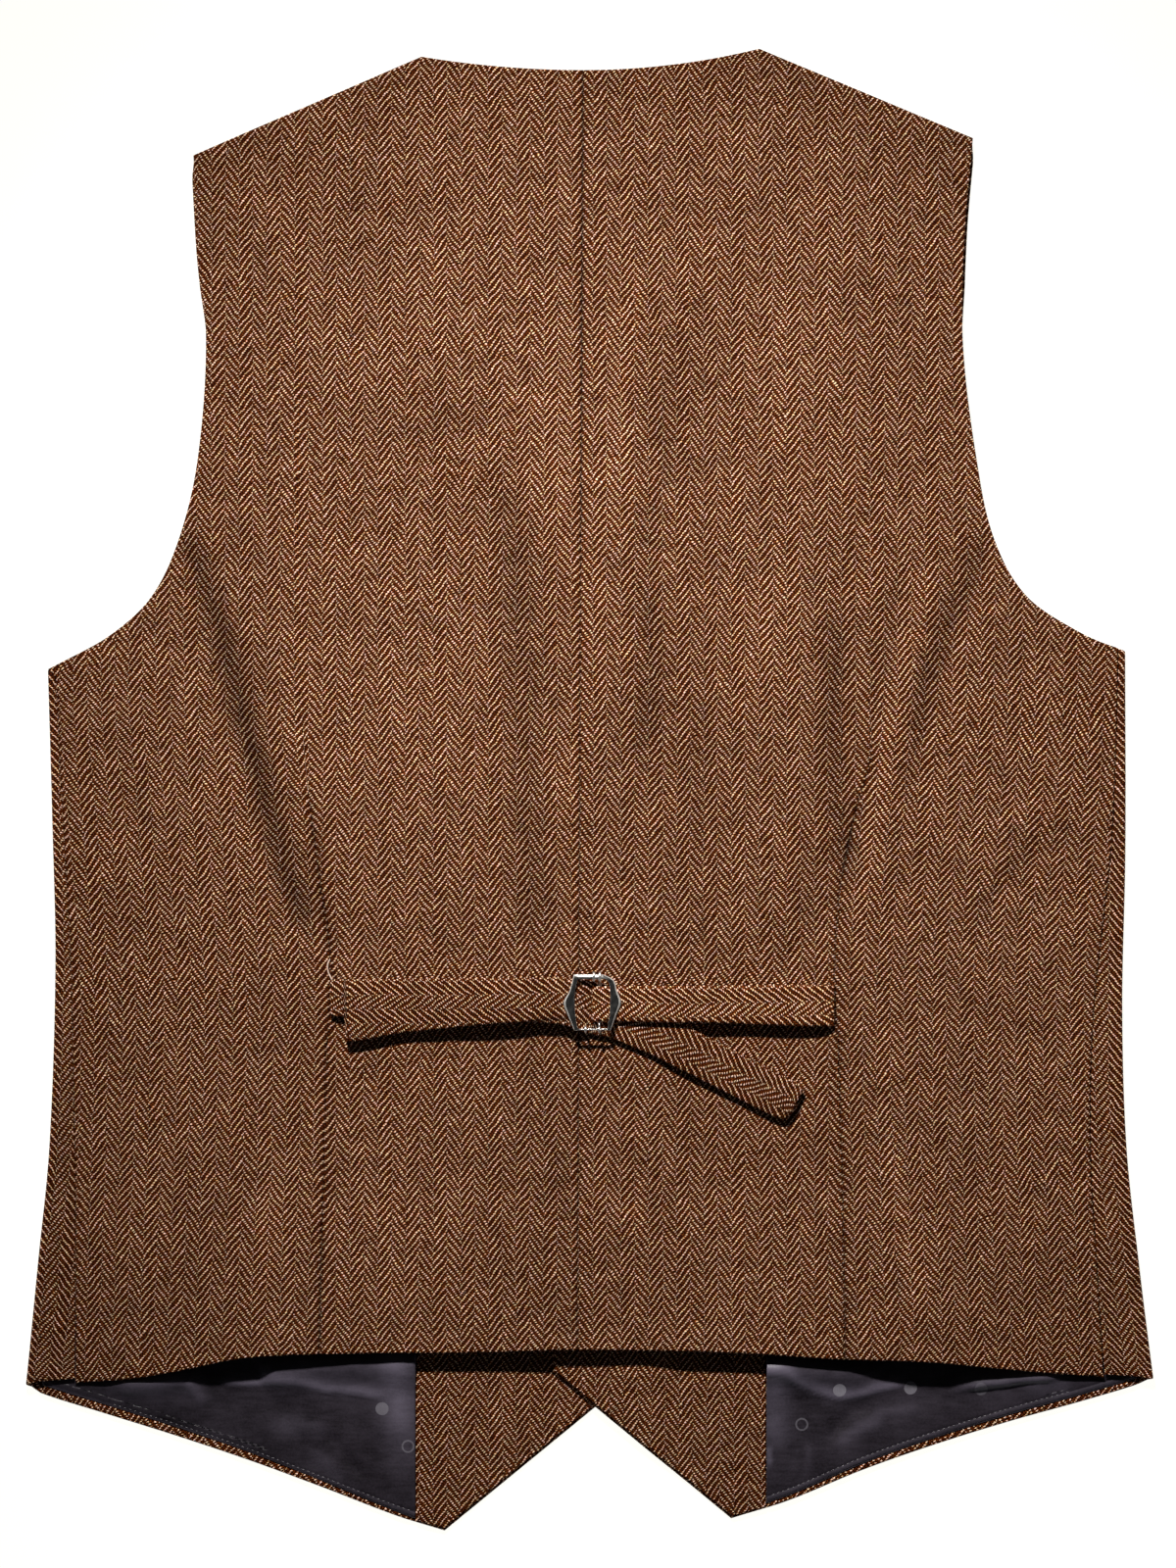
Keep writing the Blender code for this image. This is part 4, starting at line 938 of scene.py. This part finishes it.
def lining(side):
    look = liningLook
    wall, topY, tall, wide = garment["liningWall"], garment["insideTop"], look["tall"], look["wide"]
    seamX = garment["facingSeam"][side] + side * garment["gap"] / 2
    part = (spaced(tall, look["step"], close=look["close"]) / tall)[:, None]
    sideX = foldX(side, mix(garment["sideFold"][side][0][0], topY, part)) - side * look["sideInset"]
    x = mix(seamX, sideX, (spaced(wide, look["step"]) / wide)[None, :])
    lowY, at = liningEdge(side, x), part * tall
    high = topY - lowY
    fixed = np.where(at < 4.5, at / high * 1.06, np.where(tall - at < 4.5, 1 - (tall - at) / high, part))
    y = mix(lowY, topY, np.maximum.accumulate(fixed, axis=0))
    z = liningTop(side, x, y) - wall / 2
    # the creases' tone column is painted sheen, with a little more on the strip between the stitches and the
    # lining's edge
    paintedSheen = creased(x, y, look["creases"][side], tone=True)
    paintedSheen = paintedSheen + 0.14 * ease(0.6, 0.0, (y - lowY) * look["climb"] - stitchIn(side, x))
    measure = x, y, np.zeros_like(x)
    clothPiece("lining", side, (x, y, z), measure, wall, satin, turn=side,
               edge=0.5, tone=np.clip(paintedSheen, 0.0, 1.0))


def around(count):
    return np.linspace(0, 2 * math.pi, count, endpoint=False)


# Faces from each ring of vertices to the next one.
def bridge(bm, rings):
    return [bm.faces.new((ring[k], ring[k + 1 - len(ring)], following[k + 1 - len(ring)], following[k]))
            for ring, following in zip(rings, rings[1:]) for k in range(len(ring))]


# Thread: short stitches with their ends going down into the cloth, or a free length.
def threadTube(bm, points, radius, sides=6):
    points = [Vector(p) for p in points]
    last, rings = len(points) - 1, []
    for i, point in enumerate(points):
        ahead = (points[min(i + 1, last)] - points[max(i - 1, 0)]).normalized()
        across = ahead.cross(Vector((0, 0, 1)))
        if across.length < 1e-6:
            across = Vector((1, 0, 0))
        across.normalize()
        up = across.cross(ahead)
        r = radius * (0.55 if i in (0, last) else 1.0)
        rings.append([bm.verts.new((point + r * (math.cos(a) * across + math.sin(a) * up)) * mm)
                      for a in around(sides)])
    bridge(bm, rings)
    bm.faces.new(rings[0][::-1])
    bm.faces.new(rings[-1])


def meshPiece(name, bm, slot, nodes, *materials):
    bmesh.ops.recalc_face_normals(bm, faces=bm.faces[:])
    mesh = bpy.data.meshes.new(name)
    bm.to_mesh(mesh)
    bm.free()
    for material in materials:
        mesh.materials.append(material)
    mesh.shade_smooth()
    return finishPiece(intoScene(name, mesh), nodes)


def distances(xs, ys):
    return np.concatenate([[0], np.cumsum(np.hypot(np.diff(xs), np.diff(ys)))])


def hemStitches(side):
    look = liningLook["stitch"]
    xs = np.linspace(garment["facingSeam"][side] + side * 1.5, liningLook["stitchedTo"][side], 120)
    ys = liningEdge(side, xs) + stitchIn(side, xs) / liningLook["climb"]
    lengths = distances(xs, ys)
    bm, at = bmesh.new(), look["pitch"] * 0.5
    while at + look["length"] < lengths[-1]:
        ends = [at + look["length"] * k for k in (0.0, 0.25, 0.75, 1.0)]
        x, y = np.interp(ends, lengths, xs), np.interp(ends, lengths, ys)
        z = liningTop(side, x, y) + np.array([-0.12, 0.10, 0.10, -0.12])
        threadTube(bm, zip(x, y, z), look["radius"])
        at += look["pitch"]
    meshPiece("hemStitchesLeft" if side == left else "hemStitchesRight", bm, "lining", (), greyThread)


for side in both:
    lining(side)
    hemStitches(side)
print("linings laid and stitched")


strapLook = {
    "step": 2.2, "columns": 22, "wide": 18.0, "patternAt": 9.8,
    # painted light: the right strap's cloth is painted paler and the left one's darker
    "tone": {left: -0.08, right: 0.24}, "crown": {left: 3, right: 9},
    "pleat": {  # as the back's creases; its tone is a painted shadow in the pleat's fold
        left: [(0.9, 1.1, -0.7, -0.75, 0.3, 0.1, (-30, -111), (-18, -110.4), (-6, -109.8))],
        right: []},
    "rows": {  # upper edge x, y, lower edge x, y, lift off the back
        left: [(-124.8, -91.7, -124.8, -109.2, 1.4), (-117.9, -91.6, -117.5, -109.4, 3.4),
               (-116.4, -91.6, -116.1, -121.6, 4.2), (-110, -91.5, -110, -121, 4.2),
               (-92.4, -91.3, -92.4, -117.5, 4), (-70.2, -91.1, -70.2, -115.1, 5),
               (-45.1, -90.7, -45.1, -112.5, 6.5), (-26.7, -90.4, -26.7, -111.4, 6.2),
               (-12.6, -90.5, -12.4, -113.2, 4.5), (-6.6, -91.2, -6.8, -115.4, 4.4),
               (-2, -91.3, -3.8, -116.4, 3.4), (3.6, -92.1, -0.4, -117.4, 1.5),
               (10.1, -95, 2.9, -118.4, 1.4), (18.5, -99.5, 9.5, -119.2, 1.5),
               (39.5, -110.2, 30.5, -128, 1.7), (64.6, -123.2, 55.7, -141, 2),
               (98, -140.2, 89.2, -157.9, 2.6), (100.6, -141.6, 92.9, -158.9, 2.7),
               (102.3, -143, 95.4, -157.9, 2.7), (103.3, -144.2, 97.4, -155.8, 2.8)],
        right: [(1.4, -94.9, 1.4, -111.3, 4.7), (14, -94.8, 14, -111.3, 4.7), (38, -94.7, 38, -111.8, 5),
                (62, -94.6, 62, -112.3, 4.8), (86, -94.5, 86, -113.2, 4.7), (104, -94.4, 104, -113.9, 4.3),
                (113.5, -94.3, 113.5, -114, 3), (117.9, -94.3, 117.9, -114.1, 0.5)],
    },
    "sheet": {left: ((0.0305, 0.250), 0.0053, ["back_left", "back_right"]),
              right: ((0.0200, 0.118), 0.0021, ["back_left", "back_right"])},
}


def strap(side):
    look = strapLook
    wall, wide = garment["strapWall"], look["wide"]
    table = np.array(look["rows"][side])
    at = distances(*((table[:, :2] + table[:, 2:4]) / 2).T)
    extra = [a + d for a in at[1:3] for d in (-0.5, 0.0, 0.5)] if side == left else []
    stations = np.unique([*spaced(at[-1], look["step"]), *extra])
    # the left strap's notched end keeps its corners, and so does its whole lower edge
    rows = []
    for k, values in enumerate(table.T):
        keeps = (side == left) & ((k == 3) | ((k < 4) & (stations < at[3])))
        straight, smooth = np.interp(stations, at, values), through(at, values, stations)
        rows.append(np.where(keeps, straight, smooth)[:, None])
    topX, topY, lowX, lowY, lift = rows
    part = (spaced(wide, wide / look["columns"]) / wide)[None, :]
    x, y = mix(topX, lowX, part), mix(topY, lowY, part)
    near = ((0, 0), (4, 0), (-4, 0), (0, 4), (0, -4))
    under = np.maximum.reduce([backTop(x + dx, y + dy) for dx, dy in near])
    kernel = np.hanning(11)
    padded = np.pad(under, ((5, 5), (0, 0)), mode="edge")
    smoothed = np.apply_along_axis(np.convolve, 0, padded, kernel / kernel.sum(), mode="valid")
    z = np.maximum(smoothed, under - 0.12) + lift + wall / 2
    z = z + (0.35 - 0.85 * np.abs(2 * part - 1) ** look["crown"][side]) * ease(0.5, 1.6, lift)
    z = z + unevenness(x, y, 24.0, 0.22) * ease(0.6, 2.2, lift) + creased(x, y, look["pleat"][side])
    across = np.hypot(lowX - topX, lowY - topY) * part - look["patternAt"]
    measure = across, stations[:, None] + 0 * part, np.full_like(x, 200.0 + 9 * side)
    # painted light: the right strap painted paler, the left one darker, and a painted shadow in the left one's
    # pleat
    tone = look["tone"][side] + creased(x, y, look["pleat"][side], tone=True)
    clothPiece("strap", side, (x, y, z), measure, wall, tweed, edge=1.0,
               tone=tone)


for side in both:
    strap(side)
print("straps laid")


buckleLook = {
    "centre": (1.2, -102.3), "thick": 1.4, "overBack": 7.2, "lean": 0.45, "reach": 12,
    "outline": [  # outer x, y, inner x, y from the centre
        (-8.7, 13.5, -6.9, 11.2), (5.2, 13.5, 6.4, 11.2), (10.4, 10.8, 8, 9.5), (12.1, 5.4, 8.7, 4.9),
        (13.9, 0.2, 8.7, 0), (11.6, -6.1, 8.3, -6.1), (9, -13.5, 7.4, -12.5), (-8.5, -13.5, -6.9, -12.6),
        (-11.6, -6.1, -8, -5.2), (-13.7, 0, -8.3, 0.9), (-10.9, 5.4, -8, 5.7)],
    "steps": 7, "crisp": (0, 1, 6, 7),  # corners that stay crisp
    "profile": [  # outward, up: round the frame's wire from its outer rim over the face to its underside
        (1, 0), (0.98, 0.3), (0.68, 0.96), (0.62, 1), (0, 1.03), (-0.66, 1), (-0.86, 0.86), (-0.97, 0.5),
        (-1, 0), (-0.9, -0.8), (-0.6, -1), (0.6, -1), (0.9, -0.8)],
    "paintedHighlightRim": 3,   # how many of the profile's outer faces take the paler, rougher rim steel, a painted highlight
    "wire": 0.62, "clear": 0.05, "inset": 0.9,   # the wires' radius, and how they clear the bars
    "topBar": (11.2, 13.5), "lowBar": (-12.5, -13.5),
    "wires": [  # piece, node, top x, bottom x, height over the back
        ("prongBar", "buckle_prong_bar", 0.9, -3.1, 0.9),
        ("pronglessBar", "buckle_fixed_bar", 3.8, 3.5, 4.5)],
}


def buckleBase():
    x, y = buckleLook["centre"]
    spots = buckleLook["reach"] * np.array([(0, 0), (1, 0), (-1, 0), (0, 1), (0, -1)])
    return float(backTop(x + spots[:, 0], y + spots[:, 1]).max())


def smoothLoop(outline, steps, crisp):
    points, made = np.array(outline, float), []
    count = len(points)
    for i in range(count):
        p0, p1, p2, p3 = (points[(i + k) % count] for k in (-1, 0, 1, 2))
        m1 = (p2 - p0) / 2 if i not in crisp else (p2 - p1) * 0.9
        m2 = (p3 - p1) / 2 if (i + 1) % count not in crisp else (p2 - p1) * 0.9
        for u in np.linspace(0, 1, steps, endpoint=False):
            made.append(p1 * (2 * u ** 3 - 3 * u * u + 1) + m1 * (u ** 3 - 2 * u * u + u)
                        + p2 * (3 * u * u - 2 * u ** 3) + m2 * (u ** 3 - u * u))
    return made


def buckleFrame():
    look = buckleLook
    (cx, cy), low = look["centre"], buckleBase() + look["overBack"]
    bm, rings = bmesh.new(), []
    for ox, oy, ix, iy in smoothLoop(look["outline"], look["steps"], look["crisp"]):
        outer, inner = Vector((ox, oy)), Vector((ix, iy))
        middle, reach = (outer + inner) / 2, (outer - inner) / 2
        facingUp = max(0.0, reach.normalized().y) ** 2  # the top bar's face leans outward
        rings.append([])
        for wide, tall in look["profile"]:
            spot = middle + reach * wide
            height = low + look["thick"] / 2 * (1 + tall) - look["lean"] * wide * facingUp
            rings[-1].append(bm.verts.new(Vector((cx + spot.x, cy + spot.y, height)) * mm))
    for at, face in enumerate(bridge(bm, rings + rings[:1])):
        face.material_index = int(at % len(look["profile"]) < look["paintedHighlightRim"])
    meshPiece("buckleFrame", bm, "buckle", ["buckle_frame"], steel, paintedGlintSteel)


# A wire across the buckle whose ends wrap round the frame's upper and lower bars.
def buckleBar(name, node, topX, lowX, over):
    look = buckleLook
    base, r, (cx, cy) = buckleBase(), look["wire"], look["centre"]
    level, middleZ = base + over, base + look["overBack"] + look["thick"] / 2

    def wrap(x, barIn, barOut):
        out = math.copysign(abs(barOut - barIn) / 2 + r + look["clear"], barOut - barIn)
        tall = look["thick"] / 2 + r + look["clear"]
        return [(x, cy + (barOut + barIn) / 2 + out * math.cos(a), middleZ + tall * math.sin(a))
                for a in np.linspace(math.pi * 1.02, -math.pi * 0.42, 16)]

    top, low = wrap(cx + topX, *look["topBar"]), wrap(cx + lowX, *look["lowBar"])
    fromY, toY = top[0][1] - look["inset"], low[0][1] + look["inset"]
    span = [(mix(cx + topX, cx + lowX, k), mix(fromY, toY, k), level) for k in np.linspace(0, 1, 12)]
    toTop, toLow = ((x, y, mix(z, level, 0.6)) for x, y, z in (top[0], low[0]))
    bm = bmesh.new()
    threadTube(bm, [*top[::-1], toTop, *span, toLow, *low], r, sides=10)
    meshPiece(name, bm, "buckle", [node], wireSteel)


buckleFrame()
for wire in buckleLook["wires"]:
    buckleBar(*wire)
print("buckle made")


buttonLook = {
    "profile": [  # radius and height, from the dish over the rim to the back
        (3.4, 0.72), (4.3, 0.55), (4.9, 0.2), (5.5, 0.02), (6.3, 0), (6.9, 0.16), (7.3, 0.5), (7.5, 0.95),
        (7.45, 1.5), (7.2, 2), (6.7, 2.2)],
    "around": 48, "sharp": 40,
    "holes": 4, "holeRadius": 0.85, "holeAt": 1.75, "holeSides": 12, "holeZ": (0.74, 1.7),
    "thread": 0.22, "threadOff": 0.22,
    "threadPath": ((-1.75, 1.3), (-1.5, 0.62), (0.0, 0.42), (1.5, 0.62), (1.75, 1.3)), "crossLower": 0.12,
}


def buttonSpot(number):
    pitch = (lap["buttonTop"] - lap["buttonLow"]) / (lap["buttons"] - 1)
    return lap["centre"], lap["buttonTop"] - pitch * number


def button(number):
    look = buttonLook
    cx, cy = buttonSpot(number)
    bm = bmesh.new()

    def ring(x, y, radius, height, count):
        return [bm.verts.new(Vector((x + radius * math.cos(a), y + radius * math.sin(a), height)) * mm)
                for a in around(count)]

    rings = [ring(cx, cy, radius, height, look["around"]) for radius, height in look["profile"]]
    bridge(bm, rings)
    bm.faces.new(rings[-1])
    # the dish, with its sewing holes sunk into it
    loops = [rings[0]]
    for a in around(look["holes"]) + math.pi / 4:
        hole = cx + look["holeAt"] * math.cos(a), cy + look["holeAt"] * math.sin(a), look["holeRadius"]
        rim, deep = (ring(*hole, z, look["holeSides"]) for z in look["holeZ"])
        bridge(bm, [deep, rim])
        bm.faces.new(deep)
        loops.append(rim)
    pairs = [pair for loop in loops for pair in zip(loop, loop[1:] + loop[:1])]
    edges = [bm.edges.get(pair) or bm.edges.new(pair) for pair in pairs]
    bmesh.ops.triangle_fill(bm, edges=edges, use_beauty=True)
    piece = meshPiece(f"button{number + 1}", bm, "button", [f"button_{number + 1}"], horn)
    piece.data.set_sharp_from_angle(angle=math.radians(look["sharp"]))
    thread = bmesh.new()
    for cross in (0, 1):
        a = math.pi / 4 + cross * math.pi / 2
        for off in (-look["threadOff"], look["threadOff"]):
            path = [(cx - math.sin(a) * off + r * math.cos(a), cy + math.cos(a) * off + r * math.sin(a),
                     z - look["crossLower"] * cross * (r == 0)) for r, z in look["threadPath"]]
            threadTube(thread, path, look["thread"])
    meshPiece(f"buttonThread{number + 1}", thread, "tweed", (), brownThread)


buttonholeLook = {
    "length": 19.0, "from": -3.0, "radius": 0.17, "pitch": 0.55, "sink": 0.02,
    "stitch": ((0.0, 0.1, 0.1), (0.0, 0.35, -0.06), (0.1, 1.15, -0.02), (0.1, 1.25, 0.1)),
}


# Buttonholes lie under the buttons on the left front's outer face, worked all round in thread.
def buttonholes():
    look = buttonholeLook
    bm = bmesh.new()
    for number in range(lap["buttons"]):
        cx, cy = buttonSpot(number)
        start = cx + look["from"]
        for x in np.arange(start, start + look["length"], look["pitch"]):
            z = float(frontUnder(left, np.array(x), np.array(cy))) - look["sink"]
            for way in (-1, 1):
                path = [(x + along, cy + way * across, z + up) for along, across, up in look["stitch"]]
                threadTube(bm, path, look["radius"], sides=5)
    meshPiece("buttonholes", bm, "tweed", (), brownThread)


for number in range(lap["buttons"]):
    button(number)
buttonholes()
print("buttons and buttonholes made")


# Loose ends: a thread at the strap's root, a few slubs, and fine fibres standing off the tweed.
looseLook = {
    "thread": [(-125.2, -81.8), (-126.3, -84.6), (-126.0, -88.2), (-124.3, -91.6), (-123.6, -94.0)],
    "threadLift": (0.2, 0.5, 0.4, 1.6, 2.7), "threadRadius": 0.36,
    "slubs": [(113.2, -129.8, 1.6), (-159.0, 44.0, 0.9), (47.0, 110.0, 0.8)],   # x, y, size
    "slubLift": 0.25, "slubRadius": 0.28,
    "fibres": 420, "within": ((-240, 240), (-262, 330)), "underarm": 57, "margin": 8,
    "long": (1.2, 3.4), "bend": 0.7, "standing": 0.28, "fibreRadius": 0.035,
}


def backAt(x, y):
    return float(backTop(np.array(x), np.array(y)))


def looseEnds():
    look = looseLook
    bm = bmesh.new()
    xs, ys = np.array(look["thread"]).T
    zs = backTop(xs, ys) + look["threadLift"]
    threadTube(bm, rounded(np.stack([xs, ys, zs], axis=-1), 5), look["threadRadius"])
    meshPiece("looseThread", bm, "tweed", (), paleThread)
    bm = bmesh.new()
    for x, y, size in look["slubs"]:
        z = backAt(x, y) + look["slubLift"]
        threadTube(bm, [(x + size * k * 0.6, y + size * 0.3 * math.sin(2.4 * k), z)
                        for k in np.linspace(-1, 1, 7)], look["slubRadius"])
    chance = np.random.default_rng(7)
    for _ in range(look["fibres"]):
        x, y = (chance.uniform(*ends) for ends in look["within"])
        side = left if x < 0 else right
        limit = foldX(side, y) if y < look["underarm"] else fromTable(garment["armhole"][side], y)
        if abs(x) > abs(float(limit)) - look["margin"]:
            continue
        a, long = chance.uniform(0, 2 * math.pi), chance.uniform(*look["long"])
        bend, z = chance.uniform(-look["bend"], look["bend"]), backAt(x, y) + 0.02
        threadTube(bm, [(x + long * k * math.cos(a + bend * k), y + long * k * math.sin(a + bend * k),
                         z + look["standing"] * math.sin(math.pi * k)) for k in np.linspace(0, 1, 6)],
                   look["fibreRadius"], sides=4)
    meshPiece("fibres", bm, "tweed", (), paleThread)


looseEnds()
print("loose ends added")


stageLook = {
    "pixel": 0.4727, "frame": 1600, "high": 2.6, "atHeight": 0.006, "centre": (-0.7, 2.6), "film": 36.0,
    "floor": (0.16, 0.16, 0.159), "grain": 0.985, "reach": 6.0, "floorZ": -0.0003,
    "floorGlow": {"Roughness": 0.9, "Emission Color": (1.0, 1.0, 0.95, 1.0), "Emission Strength": 0.99},
    "key": {"place": (-0.21, 0.97, 1.026), "aim": (0.055, -0.056, 0.0), "radius": 0.06, "cone": 41.2,
            "power": 121.0, "colour": (1.0, 0.975, 0.94)},
    "fill": {"colour": (0.93, 0.96, 1.0, 1.0), "overhead": 0.016, "horizon": 1.2, "upTo": 0.2},
}


# The floor, the lamp at the neck side, the soft light all round and the camera overhead.
def stage():
    look, scene = stageLook, bpy.context.scene
    far, mesh = look["reach"], bpy.data.meshes.new("floor")
    corners = ((-far, -far), (far, -far), (far, far), (-far, far))
    mesh.from_pydata([(x, y, look["floorZ"]) for x, y in corners], [], [(0, 1, 2, 3)])
    floor = intoScene("floor", mesh)
    material, place = newMaterial("paleFloor")
    dim = tuple(look["grain"] * c for c in look["floor"])
    dress(material, {**look["floorGlow"], "Base Color": blend(noise(place, 30.0, 3.0), look["floor"], dim)})
    mesh.materials.append(material)

    key = look["key"]
    lamp = bpy.data.lights.new("keyLight", "SPOT")
    lamp.shadow_soft_size, lamp.energy, lamp.color = key["radius"], key["power"], key["colour"]
    lamp.spot_size, lamp.spot_blend = math.radians(key["cone"]), 1.0
    shining = intoScene("keyLight", lamp)
    shining.location = key["place"]
    shining.rotation_euler = (Vector(key["aim"]) - Vector(key["place"])).to_track_quat("-Z", "Y").to_euler()

    fill, world = look["fill"], bpy.data.worlds.new("softFill")
    world.use_nodes = True
    up = splitUp(put("ShaderNodeTexCoord", {}, "Generated", world.node_tree))[2]
    inputs = {0: up, 1: 0.0, 2: fill["upTo"], 3: fill["horizon"], 4: fill["overhead"]}
    glow = put("ShaderNodeMapRange", inputs)
    feed(world.node_tree.nodes["Background"], {0: fill["colour"], 1: glow})
    scene.world = world

    camera = bpy.data.cameras.new("camera")
    camera.sensor_width = look["film"]
    camera.lens = look["film"] * (look["high"] - look["atHeight"]) / (look["frame"] * look["pixel"] * mm)
    scene.camera = intoScene("camera", camera)
    scene.camera.location = (look["centre"][0] * mm, look["centre"][1] * mm, look["high"])
    scene.view_settings.view_transform = "Standard"


stage()
print("stage set")
